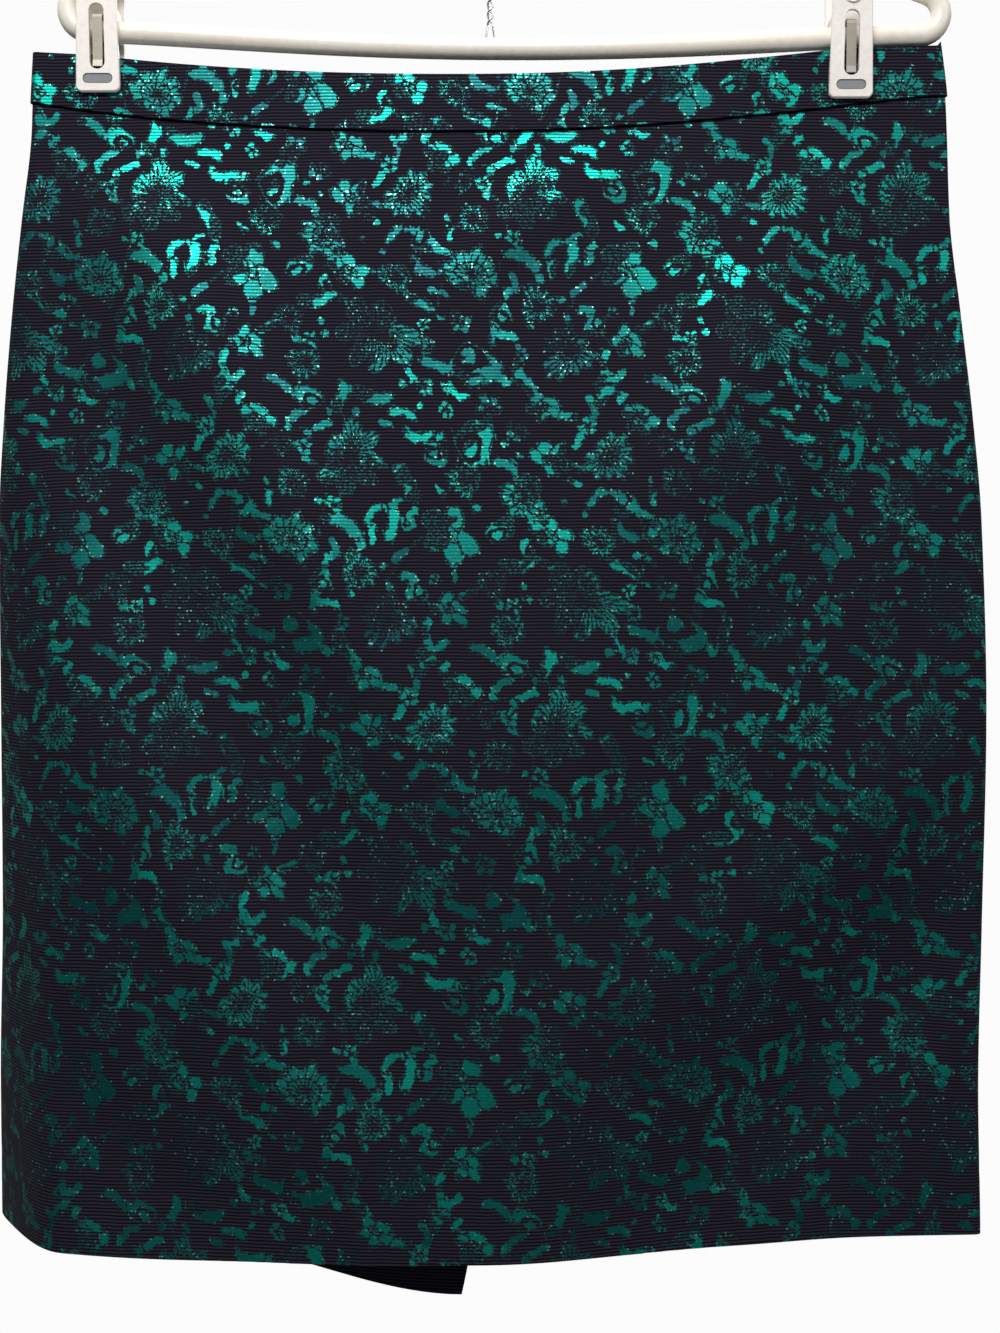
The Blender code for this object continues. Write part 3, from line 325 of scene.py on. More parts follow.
def right_half(left, right):
    return (GAP / 2 - left) / (right - left), 1.0, False, True


def vent_shift(points, v, vent):
    """How far a vent's edge has swung, fading out across the panel."""
    side, forward, fade, power = vent
    top = 1.0 - VENT_LENGTH / PANEL_LENGTH
    swing = np.maximum(0.0, (v - top) / (1.0 - top))[:, None]
    near = np.exp(-(points[..., 0] / fade) ** 2)
    shift = np.zeros(points.shape)
    shift[..., 0] = side * swing ** power * near
    shift[..., 1] = -forward * swing ** VENT_LIFT_POWER * near
    return shift


# ---------------- the woven pattern

TILE_WIDTH = 177.0
TILE_ROW = 125.5
TILE_SHIFT = 88.6
LAYOUT_SEED = 11
BITE_PLACE = 0.42
BITE_RADIUS = 0.70
HEART_RADIUS = 0.34

# Motifs: petals, depth of the notches between them, their roundness, veins, ring's radius and bite.
KINDS = {
    "fan": (7, 0.50, 0.5, 35, 0.24, 0.0),
    "rosette": (7, 0.24, 0.6, 14, 0.50, 0.0),
    "blossom": (5, 0.44, 0.6, 5, 0.27, 0.0),
    "aster": (11, 0.26, 0.8, 22, 0.34, 0.0),
    "crescent": (0, 0.0, 1.0, 0.01, 3.0, 1.0),
    "leaf": (2, 0.62, 5.0, 0.01, 3.0, 0.0),
    "bud": (0, 0.0, 1.0, 0.01, 3.0, 0.0),
}
# The half-drop repeat's large flowers: kind, place across and up, size and turn.
FLOWERS = (
    ("fan", 34, 30, 19, 12),
    ("aster", 122, 22, 13, 0),
    ("rosette", 80, 62, 12.5, 20),
    ("blossom", 152, 62, 14, -14),
    ("fan", 110, 98, 17, 200),
    ("aster", 52, 98, 12, 0),
    ("rosette", 10, 80, 11, 40),
    ("crescent", 80, 16, 11, 110),
    ("crescent", 166, 106, 10, 215),
)
# What fills the ground between them: kinds, smallest and largest size, places tried.
FILLERS = (
    (("leaf", "blossom", "leaf", "aster"), 7.6, 10.5, 120),
    (("leaf", "crescent", "blossom", "aster"), 5.0, 7.6, 320),
    (("leaf", "blossom", "blossom"), 3.0, 5.0, 420),
    (("bud",), 1.3, 2.3, 160),
)
GAP_BETWEEN = 0.7
LEAF_SHARE = 0.62
STEM_SAMPLES = 25
WARP = 0.15
WARP_ACROSS = 3.1
WARP_UP = 2.7
FAR = 99.0

# Stems: start, pull and end in the repeat, each across and up.
STEMS = (
    (58, 36, 70, 52, 62, 80),
    (84, 46, 96, 62, 98, 92),
    (122, 40, 130, 54, 140, 62),
    (14, 72, 8, 60, 18, 48),
    (150, 80, 162, 92, 156, 112),
    (68, 104, 76, 114, 92, 112),
    (138, 24, 150, 30, 158, 20),
)


def tile_motifs():
    """Every motif of the repeat: kind, place, size, turn, share that is close-woven, tone and phase."""
    rng = np.random.default_rng(LAYOUT_SEED)
    placed = list(FLOWERS)
    across = [row[1] for row in FLOWERS]
    rising = [row[2] for row in FLOWERS]
    radii = [row[3] for row in FLOWERS]
    for kinds, smallest, largest, tries in FILLERS:
        for _ in range(tries):
            x, y, size, turn = rng.uniform((0.0, 0.0, smallest, 0.0),
                                           (TILE_WIDTH, TILE_ROW, largest, 360.0))
            kind = kinds[int(rng.integers(len(kinds)))]
            radius = size * (LEAF_SHARE if kind == "leaf" else 1.0)
            apart = np.hypot(*tile_place(np.array(across), np.array(rising), x, y))
            if np.any(apart < np.array(radii) + radius + GAP_BETWEEN):
                continue
            placed.append((kind, x, y, size, turn))
            across.append(x)
            rising.append(y)
            radii.append(radius)
    motifs = []
    for row in placed:
        motifs.append((*row, rng.uniform(-0.25, 1.0), rng.uniform(0.2, 1.25), rng.uniform(0.0, 6.0)))
    return motifs


def tile_place(u, v, x, y):
    """Offsets from the nearest copy of one place in the half-drop repeat, in millimetres."""
    dv = v - y
    row = np.round(dv / TILE_ROW)
    dv = dv - row * TILE_ROW
    du = u - x - row * TILE_SHIFT
    return du - np.round(du / TILE_WIDTH) * TILE_WIDTH, dv


def pattern(u, v):
    """Which motif of the woven pattern each place of the flat cloth belongs to, and where in it.

    place is across and up in the motif in shares of its size, then its size; form is its petals,
    the depth of their notches and its veins; finish is the radius of its ring, its bite and how
    close-woven it is there; shine is its tone and its petals' roundness. stem and near are the
    nearness to a stem and to a motif's edge.
    """
    count = len(u)
    stem = np.full(count, -FAR)
    for x0, y0, x1, y1, x2, y2 in STEMS:
        for t in np.linspace(0.0, 1.0, STEM_SAMPLES):
            place = tile_place(u, v, bezier(t, x0, x1, x2), bezier(t, y0, y1, y2))
            stem = np.maximum(stem, -np.hypot(*place))
    near = np.full(count, -FAR)
    place, form, finish, shine = (np.zeros((count, 3)) for _ in range(4))
    for kind, x, y, size, turn, share, tone, phase in tile_motifs():
        petals, depth, power, veins, ring, bite = KINDS[kind]
        du, dv = tile_place(u, v, x, y)
        c = math.cos(math.radians(turn))
        s = math.sin(math.radians(turn))
        px = (du * c + dv * s) / size
        py = (dv * c - du * s) / size
        px, py = (px + WARP * np.sin(py * WARP_ACROSS + phase),
                  py + WARP * np.sin(px * WARP_UP + phase * 2.0))
        lobes = np.abs(np.cos(petals / 2.0 * np.arctan2(py, px))) ** power
        body = (1.0 - depth * (1.0 - lobes) - np.hypot(px, py)) * size
        over = body > near
        near = np.where(over, body, near)
        lean = px * math.cos(phase) + py * math.sin(phase) + share
        place[over] = np.column_stack(np.broadcast_arrays(px, py, size))[over]
        form[over] = (petals, depth, veins)
        finish[over] = np.column_stack(np.broadcast_arrays(ring, bite, lean))[over]
        shine[over] = (tone, power, 0.0)
    return {"stem": stem, "near": near, "place": place, "form": form, "finish": finish, "shine": shine}


# ---------------- meshes

def cloth_coordinates(grid, flip, offset):
    """Places on the flat cloth, in millimetres, from the lengths along and down a face."""
    across = np.linalg.norm(np.diff(grid, axis=1), axis=2)
    run = np.concatenate([np.zeros((len(grid), 1)), np.cumsum(across, axis=1)], axis=1)
    middle = np.argmin(np.abs(grid[0, :, 0]))
    run = run - run[:, middle:middle + 1] + grid[0, middle, 0]
    down = np.linalg.norm(np.diff(grid, axis=0), axis=2)
    fall = np.concatenate([np.zeros((1, grid.shape[1])), np.cumsum(down, axis=0)], axis=0)
    rise = grid[0, :, 2][None, :] - fall
    return (-run if flip else run) + offset[0], rise + offset[1]


def put(name, data):
    """A new object in the scene."""
    piece = bpy.data.objects.new(name, data)
    bpy.context.scene.collection.objects.link(piece)
    return piece


def face_outwards(mesh, merge=None):
    """Turns a closed mesh's faces outwards, after points that near to one another are merged."""
    work = bmesh.new()
    work.from_mesh(mesh)
    if merge:
        bmesh.ops.remove_doubles(work, verts=work.verts, dist=merge)
    bmesh.ops.recalc_face_normals(work, faces=work.faces)
    work.to_mesh(mesh)
    work.free()


def grid_faces(rows, columns, first, outwards):
    """The faces between a grid's points, which are counted from the first."""
    r, c = np.meshgrid(np.arange(rows - 1), np.arange(columns - 1), indexing="ij")
    a = (first + r * columns + c).ravel()
    around = (a, a + 1, a + columns + 1, a + columns)
    if not outwards:
        around = (a, a + columns, a + columns + 1, a + 1)
    return np.stack(around, axis=1).tolist()


def grid_border(rows, columns, first):
    """The points round a grid's border, in order."""
    ring = list(range(columns))
    ring += [r * columns + columns - 1 for r in range(1, rows)]
    ring += [(rows - 1) * columns + c for c in range(columns - 2, -1, -1)]
    ring += [r * columns for r in range(rows - 2, 0, -1)]
    return [first + i for i in ring]


def wall_object(name, outer, inner, uv):
    """A closed wall: a fine outer face, a face inside it with every THIN-th point, and their border."""
    fine_size, coarse_size = outer.shape[:2], inner.shape[:2]
    count = fine_size[0] * fine_size[1]
    points = np.concatenate([outer.reshape(-1, 3), inner.reshape(-1, 3)]) * MM
    faces = grid_faces(*fine_size, 0, True) + grid_faces(*coarse_size, count, False)
    fine = grid_border(*fine_size, 0)
    coarse = grid_border(*coarse_size, count)
    fine.append(fine[0])
    for k, corner in enumerate(coarse):
        faces.append(fine[k * THIN:(k + 1) * THIN + 1] + [coarse[(k + 1) % len(coarse)], corner])
    mesh = bpy.data.meshes.new(name)
    mesh.from_pydata(points.tolist(), [], faces)
    face_outwards(mesh)
    mesh.shade_smooth()
    mesh.set_sharp_from_angle(angle=math.radians(40))
    places = np.stack([np.concatenate([values.ravel(), values[::THIN, ::THIN].ravel()]) for values in uv],
                      axis=1)
    layer = mesh.uv_layers.new(name="cloth")
    loops = np.empty(len(mesh.loops), dtype=np.int32)
    mesh.loops.foreach_get("vertex_index", loops)
    layer.data.foreach_set("uv", (places[loops] * MM).ravel())
    fields = pattern(places[:, 0], places[:, 1])
    fields["outside"] = (np.arange(len(points)) < count).astype(float)
    for field, values in fields.items():
        kind, key = ("FLOAT", "value") if values.ndim == 1 else ("FLOAT_VECTOR", "vector")
        attribute = mesh.attributes.new(field, kind, "POINT")
        attribute.data.foreach_set(key, np.clip(values, -FAR, FAR).astype(np.float32).ravel())
    return put(name, mesh)


THIN = 3
PANEL_WIDTH = 430.0
BAND_WIDTH = 436.0
BAND_HEIGHT = 27.0
BAND_SPACING = 1.5
BACK_COARSER = 1.25
HEM_STITCH_REACH = 3.0
WAIST_PULL_REACH = 7.0
WAIST_TUCK_REACH = 1.6
HEM_STITCH = 0.22
HEM_STITCH_SWING = 0.16
WAIST_PULL = 0.10
WAIST_TUCK = 0.8


def multiple(count):
    """The nearest count whose value less one divides by THIN."""
    return int(round((count - 1) / THIN)) * THIN + 1


def column_count(width, start_end, spacing):
    return multiple((1.0 if start_end is whole_width else 0.5) * width / spacing)


def centre_edge(start_end):
    """The column of a back half that lies at the centre back."""
    return -1 if start_end is left_half else 0


def make_panel(name, front, sag, start_end, vent, spacing, offset):
    """One panel of the skirt, its hem turned up inside."""
    rows = np.linspace(0.0, 1.0, multiple(PANEL_LENGTH / spacing))
    columns = column_count(PANEL_WIDTH, start_end, spacing)
    turn = 1.0 - HEM_TURN / PANEL_LENGTH
    outer = panel_grid(front, rows, columns, lambda v: 0.0, sag, start_end, 1)
    outer[..., 1] += hem_ripple(outer, rows) * (-1.0 if front else 1.0)

    def inset(v):
        return -(HEM_WALL if v >= turn else PANEL_WALL)

    inner = panel_grid(front, rows[::THIN], (columns - 1) // THIN + 1, inset, sag, start_end, THIN)
    if vent is not None:
        outer = outer + vent_shift(outer, rows, vent)
        inner = inner + vent_shift(inner, rows[::THIN], vent)
        edge = centre_edge(start_end)
        inner[:, edge, 0] = outer[::THIN, edge, 0]
    return wall_object(name, outer, inner, cloth_coordinates(outer, not front, offset))


def hem_ripple(grid, rows):
    """The cloth's slight unevenness along the blind-stitched hem and the waist seam."""
    drop = rows[:, None] * PANEL_LENGTH
    x = grid[..., 0]
    hem = np.exp(-((drop - (PANEL_LENGTH - HEM_TURN)) / HEM_STITCH_REACH) ** 2)
    tucks = HEM_STITCH_SWING * np.sin(x / 3.1 + np.sin(x / 17.0) * 2.0)
    seam = np.exp(-(drop / WAIST_PULL_REACH) ** 2)
    pull = WAIST_PULL * np.sin(x / 4.3 + np.sin(x / 29.0) * 3.0)
    tucked = np.exp(-(drop / WAIST_TUCK_REACH) ** 2)
    return -hem * (HEM_STITCH + tucks) + seam * pull - tucked * WAIST_TUCK


def make_band(name, front, sag, start_end, offset):
    """One length of the contour waistband."""
    rows = np.linspace(0.0, 1.0, multiple(BAND_HEIGHT / BAND_SPACING))
    columns = column_count(BAND_WIDTH, start_end, BAND_SPACING)
    outer = band_grid(front, rows, columns, BAND_PROUD, sag, start_end, 1)
    inner = band_grid(front, rows[::THIN], (columns - 1) // THIN + 1, BAND_PROUD - BAND_WALL, sag,
                      start_end, THIN)
    if start_end is not whole_width:
        edge = centre_edge(start_end)
        outer[:, edge, 0] = inner[:, edge, 0] = GAP / 2 if edge == 0 else -GAP / 2
    return wall_object(name, outer, inner, cloth_coordinates(outer, not front, offset))


# ---------------- nodes

class Value:
    """What a node puts out: sums, products and powers of it are math nodes of the same tree."""

    def __init__(self, tree, socket):
        self.tree = tree
        self.socket = socket

    def do(self, operation, *others, clamp=False):
        return math_node(self.tree, operation, self, *others, clamp=clamp)

    def __add__(self, other):
        return self.do("ADD", other)

    def __sub__(self, other):
        return self.do("SUBTRACT", other)

    def __rsub__(self, other):
        return math_node(self.tree, "SUBTRACT", other, self)

    def __mul__(self, other):
        return self.do("MULTIPLY", other)

    def __truediv__(self, other):
        return self.do("DIVIDE", other)

    def __pow__(self, other):
        return self.do("POWER", other)


def fill(tree, target, inputs):
    """Links a node's inputs to what other nodes put out, and sets the rest to numbers or colours."""
    for name, value in inputs.items():
        value = getattr(value, "socket", value)
        if isinstance(value, bpy.types.NodeSocket):
            tree.links.new(value, target.inputs[name])
        else:
            target.inputs[name].default_value = value
    return target


def node(tree, kind, inputs=None, **settings):
    """A new node with its settings made and its inputs filled."""
    made = tree.nodes.new(kind)
    for name, value in settings.items():
        setattr(made, name, value)
    return fill(tree, made, inputs or {})


def math_node(tree, operation, *values, clamp=False):
    made = node(tree, "ShaderNodeMath", dict(enumerate(values)), operation=operation, use_clamp=clamp)
    return Value(tree, made.outputs[0])


def remap(value, low, high, out_low=0.0, out_high=1.0, smooth=False):
    """A value between two limits, moved between two others."""
    made = node(value.tree, "ShaderNodeMapRange",
                {"Value": value, "From Min": low, "From Max": high, "To Min": out_low, "To Max": out_high},
                interpolation_type="SMOOTHSTEP" if smooth else "LINEAR")
    return Value(value.tree, made.outputs["Result"])


def mixed(factor, first, second):
    """A colour that goes from the first to the second."""
    ends = [colour if isinstance(colour, Value) else (*colour, 1.0) for colour in (first, second)]
    made = node(factor.tree, "ShaderNodeMix", {0: factor, 6: ends[0], 7: ends[1]}, data_type="RGBA")
    return Value(factor.tree, made.outputs[2])


def noise(vector, scale, detail=2.0, roughness=0.5):
    made = node(vector.tree, "ShaderNodeTexNoise",
                {"Vector": vector, "Scale": scale, "Detail": detail, "Roughness": roughness})
    return Value(vector.tree, made.outputs["Fac"])


def parts(vector):
    split = node(vector.tree, "ShaderNodeSeparateXYZ", {0: vector})
    return [Value(vector.tree, socket) for socket in split.outputs]


def combined(x, y):
    return Value(x.tree, node(x.tree, "ShaderNodeCombineXYZ", {0: x, 1: y}).outputs[0])


def attribute(tree, name, output="Fac"):
    return Value(tree, node(tree, "ShaderNodeAttribute", attribute_name=name).outputs[output])


def flat_cloth(tree):
    """Places on the flat cloth, in metres."""
    return Value(tree, node(tree, "ShaderNodeUVMap", uv_map="cloth").outputs["UV"])


def new_group(name, inputs, outputs):
    """An empty group of shader nodes and what it is given; a label with Colour in it is a colour."""
    group = bpy.data.node_groups.new(name, "ShaderNodeTree")

    def socket(label, way):
        kind = "NodeSocketColor" if "Colour" in label else "NodeSocketFloat"
        return group.interface.new_socket(label, in_out=way, socket_type=kind)

    for label, value in inputs.items():
        socket(label, "INPUT").default_value = value
    for label in outputs:
        socket(label, "OUTPUT")
    start = group.nodes.new("NodeGroupInput")
    return group, [Value(group, start.outputs[label]) for label in inputs]


def new_material(name):
    made = bpy.data.materials.new(name)
    made.use_nodes = True
    return made, made.node_tree, made.node_tree.nodes["Principled BSDF"]


# ---------------- sweeps

def sweep_tree():
    """Geometry nodes that draw a round tube or wire along a path, and their inputs' identifiers."""
    tree = bpy.data.node_groups.new("tube along a path", "GeometryNodeTree")
    keys = {}
    for label, kind in (("Geometry", "Geometry"), ("Radius", "Float"), ("Sides", "Int"),
                        ("Finish", "Material")):
        socket = tree.interface.new_socket(label, in_out="INPUT", socket_type="NodeSocket" + kind)
        keys[label] = socket.identifier
    tree.interface.new_socket("Geometry", in_out="OUTPUT", socket_type="NodeSocketGeometry")
    given = tree.nodes.new("NodeGroupInput").outputs
    circle = node(tree, "GeometryNodeCurvePrimitiveCircle",
                  {"Radius": given["Radius"], "Resolution": given["Sides"]})
    sweep = node(tree, "GeometryNodeCurveToMesh",
                 {"Curve": given["Geometry"], "Profile Curve": circle.outputs["Curve"], "Fill Caps": True})
    smooth = node(tree, "GeometryNodeSetShadeSmooth", {"Geometry": sweep.outputs["Mesh"]})
    realize = node(tree, "GeometryNodeRealizeInstances", {"Geometry": smooth.outputs["Geometry"]})
    coat = node(tree, "GeometryNodeSetMaterial",
                {"Geometry": realize.outputs["Geometry"], "Material": given["Finish"]})
    node(tree, "NodeGroupOutput", {"Geometry": coat.outputs["Geometry"]})
    return tree, keys


def swept(tree, keys, name, path, radius, sides, finish):
    """A round tube or wire along points in millimetres, as a plain closed mesh."""
    curve = bpy.data.curves.new(name + "_path", "CURVE")
    curve.dimensions = "3D"
    spline = curve.splines.new("POLY")
    spline.points.add(len(path) - 1)
    for point, place in zip(spline.points, path):
        point.co = (place[0] * MM, place[1] * MM, place[2] * MM, 1.0)
    source = put(name + "_path", curve)
    modifier = source.modifiers.new("sweep", "NODES")
    modifier.node_group = tree
    for label, value in (("Radius", radius * MM), ("Sides", sides), ("Finish", finish)):
        modifier[keys[label]] = value
    depsgraph = bpy.context.evaluated_depsgraph_get()
    mesh = bpy.data.meshes.new_from_object(source.evaluated_get(depsgraph))
    mesh.name = name
    source.modifiers.remove(modifier)
    bpy.data.objects.remove(source)
    bpy.data.curves.remove(curve)
    face_outwards(mesh, MERGE)
    mesh.set_sharp_from_angle(angle=math.radians(50))
    return put(name, mesh)


MERGE = 1e-7
HOOK_INNER = 22.0
HOOK_WIRE = 1.7
HOOK_START = -50.0
HOOK_END = 196.0
HOOK_BEND_DROP = 60.0
HOOK_BEND_PULL = 7.0
HOOK_SUNK = 2.0
NECK_HALF = 5.0
STAY_WIRE = 0.6
STAY_TOP = -NECK_DROP - 6.5
STAY_FOOT = 6.0
STAY_HALF_TWIST = 4.7
STAY_SPREAD = 1.2
STAY_FLARE = 0.7
STAY_POINTS = 260


def arc(centre, radius, start, end, steps):
    angles = np.radians(np.linspace(start, end, steps + 1))
    return [(centre[0] + radius * math.cos(a), 0.0, centre[1] + radius * math.sin(a)) for a in angles]


def shoulder_angle(bend, neck, side):
    away = (neck[0] - bend[0], neck[1] - bend[1])
    towards = math.degrees(math.atan2(away[1], away[0]))
    return towards + side * math.degrees(math.acos(BEND_RADIUS / math.hypot(*away)))


def hanger_path():
    """The bent tube's axis, from the neck round the left end, along the bar and back to the neck."""
    left_angle = shoulder_angle(LEFT_BEND, (-NECK_HALF, -NECK_DROP), 1.0)
    right_angle = shoulder_angle(RIGHT_BEND, (NECK_HALF, -NECK_DROP), -1.0)
    path = [(-NECK_HALF, 0.0, -NECK_DROP)]
    path += arc(LEFT_BEND, BEND_RADIUS, left_angle, 270.0, 24)
    for x in np.linspace(LEFT_BEND[0], RIGHT_BEND[0], 61)[1:-1]:
        path.append((x, 0.0, float(bar_height(np.array(x)))))
    path += arc(RIGHT_BEND, BEND_RADIUS, -90.0, right_angle, 24)
    path.append((NECK_HALF, 0.0, -NECK_DROP))
    return path


def hook_path():
    """The hook's axis: up from the neck, through a soft bend and round the crook."""
    crook = arc((0.0, -HOOK_INNER), HOOK_INNER + HOOK_WIRE, HOOK_START, HOOK_END, 60)
    start = math.radians(HOOK_START)
    end = (crook[0][0], crook[0][2])
    pulls = ((0.0, -HOOK_BEND_DROP), (0.0, -HOOK_BEND_DROP + HOOK_BEND_PULL),
             (end[0] + math.sin(start) * HOOK_BEND_PULL, end[1] - math.cos(start) * HOOK_BEND_PULL), end)
    path = [(0.0, 0.0, -NECK_DROP + HOOK_SUNK)]
    for t in np.linspace(0.0, 1.0, 17)[:-1]:
        weights = ((1 - t) ** 3, 3 * t * (1 - t) ** 2, 3 * t * t * (1 - t), t ** 3)
        x, z = (sum(w * p[i] for w, p in zip(weights, pulls)) for i in (0, 1))
        path.append((x, 0.0, z))
    return path + crook


def stay_path(phase):
    """One of the stay's two wires, twisted round the other from the bar up into the neck."""
    bottom = float(bar_height(np.array(0.0))) + TUBE_RADIUS + GAP
    path = []
    for height in np.linspace(0.0, STAY_TOP - bottom, STAY_POINTS):
        twist = max(0.0, height - STAY_FOOT) / STAY_HALF_TWIST * math.pi + phase
        spread = STAY_SPREAD + STAY_FLARE * (1.0 - float(ramp(0.0, STAY_FOOT, height)))
        path.append((math.cos(twist) * spread, math.sin(twist) * spread, bottom + height))
    return path


# ---------------- materials

def grain_group():
    """Fine uneven gloss and tone of a hard finish, from object coordinates."""
    name = "hard finish grain"
    if name in bpy.data.node_groups:
        return bpy.data.node_groups[name]
    group, (colour, worn_colour, roughness, spread, wear, scale) = new_group(
        name, {"Colour": (0.8, 0.8, 0.8, 1.0), "Worn Colour": (0.5, 0.5, 0.5, 1.0), "Roughness": 0.4,
               "Spread": 0.1, "Wear": 0.1, "Scale": 180.0}, ("Colour", "Roughness", "Height"))
    place = Value(group, node(group, "ShaderNodeTexCoord").outputs["Object"])
    fine = noise(place, scale, 4.0)
    worn = remap(noise(place, 34.0, 3.0), 0.45, 0.72, smooth=True) * wear
    lit = node(group, "ShaderNodeVectorMath",
               {0: mixed(worn, colour, worn_colour), "Scale": remap(fine, 0.3, 0.7, 0.94, 1.04)},
               operation="SCALE")
    rough = (fine - 0.5) * spread * 2.0 + roughness
    node(group, "NodeGroupOutput", {"Colour": lit.outputs["Vector"], "Height": fine,
                                    "Roughness": rough.do("ADD", worn * 0.15, clamp=True)})
    return group


def hard_finish(name, colour, worn, roughness, metallic=0.0, spread=0.08, wear=0.15, scale=240.0,
                bump=0.05, coat=0.0):
    """A material for metal, plastic or rubber: one shader fed by the grain group."""
    if name in bpy.data.materials:
        return bpy.data.materials[name]
    made, tree, shader = new_material(name)
    grain = node(tree, "ShaderNodeGroup",
                 {"Colour": (*colour, 1.0), "Worn Colour": (*worn, 1.0), "Roughness": roughness,
                  "Spread": spread, "Wear": wear, "Scale": scale}, node_tree=grain_group()).outputs
    relief = node(tree, "ShaderNodeBump",
                  {"Strength": bump, "Distance": 0.0002, "Height": grain["Height"]})
    fill(tree, shader, {"Base Color": grain["Colour"], "Roughness": grain["Roughness"],
                        "Normal": relief.outputs["Normal"], "Metallic": metallic, "Coat Weight": coat})
    return made


# How fine each is, as a noise's or a grid's scale for a metre of cloth.
THREADS = 1400.0
GLINTS = 1100.0
SPECKLES_ACROSS = 760.0
SPECKLES_UP = 900.0
RAGGEDNESS = 330.0
# In millimetres: how far outlines are ragged, half a vein's width, and an outlined motif's rim.
RAG_REACH = 5.0
VEIN_HALF = 0.5
RIM_WIDTH = 1.2
RIM_SIZES = (5.0, 6.5)
# In metres: how far a rib wanders, and how deep the cloth's relief is.
RIB_WANDER = 0.0007
RELIEF_DEPTH = 0.00022


def rib_group():
    """The cloth's fine ribs across it and its threads along it, from its own flat coordinates."""
    group, (pitch,) = new_group("ribbed weave", {"Rib Pitch": 0.0014}, ("Rib", "Thread", "Spark"))
    flat = flat_cloth(group)
    across, up, _ = parts(flat)
    rows = (noise(flat, 90.0, 1.0) * RIB_WANDER + up) / pitch
    dot = combined((across * GLINTS).do("FLOOR"), rows.do("FLOOR"))
    glint = node(group, "ShaderNodeTexWhiteNoise", {"Vector": dot}, noise_dimensions="2D")
    node(group, "NodeGroupOutput", {"Rib": remap((rows * math.tau).do("SINE"), -1.0, 1.0),
                                    "Thread": noise(combined(across * THREADS, rows), 1.0, 2.0, 0.6),
                                    "Spark": glint.outputs["Value"]})
    return group


def motif_group():
    """Draws each motif from where in it a place lies: its petals, veins, ring, bite and outline."""
    group, _ = new_group("woven motif", {}, ("Figure", "Satin", "Edge", "Tone And Shade"))
    flat = flat_cloth(group)
    px, py, size = parts(attribute(group, "place", "Vector"))
    petals, depth, veins = parts(attribute(group, "form", "Vector"))
    ring, bite, close = parts(attribute(group, "finish", "Vector"))
    tone, power, _ = parts(attribute(group, "shine", "Vector"))

    # the ragged place in the motif, and the distances inside its outline, veins, ring and bite
    elsewhere = node(group, "ShaderNodeVectorMath", {0: flat, 1: (3.1, 5.7, 0.0)}, operation="ADD")
    elsewhere = Value(group, elsewhere.outputs[0])
    x = px + (noise(flat, RAGGEDNESS, 3.0, 0.7) - 0.5) * RAG_REACH / size
    y = py + (noise(elsewhere, RAGGEDNESS, 3.0, 0.7) - 0.5) * RAG_REACH / size
    reach = (x * x + y * y).do("SQRT")
    angle = y.do("ARCTAN2", x)
    lobes = (angle * (petals * 0.5)).do("COSINE").do("ABSOLUTE") ** power
    body = (1.0 - depth * (1.0 - lobes) - reach) * size
    away = ((angle * veins / math.tau).do("FRACT") - 0.5).do("ABSOLUTE")
    vein = away * math.tau / veins * reach * size
    around = (reach - ring).do("ABSOLUTE") * size
    past = x - BITE_PLACE
    bitten = (past * past + y * y).do("SQRT")
    moon = (bitten - BITE_RADIUS).do("MAXIMUM", HEART_RADIUS - bitten)
    moon = moon * size + (1.0 - bite) * FAR
    rim = remap(size, *RIM_SIZES)
    filled = (body - rim * RIM_WIDTH).do("MINIMUM", vein - VEIN_HALF)
    filled = filled.do("MINIMUM", (around - VEIN_HALF).do("MINIMUM", moon))

    # the threads that show there: close-woven satin, its broken edge, an outline and the stems
    across, up, _ = parts(flat)
    speckle = noise(combined(across * SPECKLES_ACROSS, up * SPECKLES_UP), 1.0, 2.0, 0.6)
    dense = remap(close + (noise(flat, 130.0, 1.0) - 0.5) * 2.4, -0.06, 0.06)
    satin = remap(filled + (speckle - 0.5) * 2.2, -0.12, 0.12) * dense
    satin = satin * remap(speckle, 0.30, 0.34)
    broken = remap(filled, -0.5, -0.1) * remap(speckle, 0.49, 0.54)
    halo = remap((body - 0.3).do("ABSOLUTE"), 0.5, 0.25) * remap(speckle, 0.42, 0.48) * rim
    stem = remap(attribute(group, "stem"), -1.25, -0.9) * remap(speckle, 0.42, 0.5)
    stem = stem * remap(body, -1.0, -1.5)
    figure = satin.do("MAXIMUM", broken).do("MAXIMUM", halo)
    figure = figure * remap(attribute(group, "near"), -0.9, -0.4)
    figure = figure.do("MAXIMUM", stem) * attribute(group, "outside")
    # painted shade: broad patches of flower thread are darkened to stand for the shade of the drape's
    # folds; the tone is also lower in broken strands
    painted_drape_shade = remap(noise(flat, 8.0, 2.0), 0.38, 0.6, 0.35, 1.0, smooth=True)
    node(group, "NodeGroupOutput", {"Figure": figure, "Satin": satin,
                                    "Edge": 1.0 - remap(filled, 0.2, 1.2, 0.0, 0.9),
                                    "Tone And Shade": tone * painted_drape_shade * (satin * 0.6 + 0.4)})
    return group


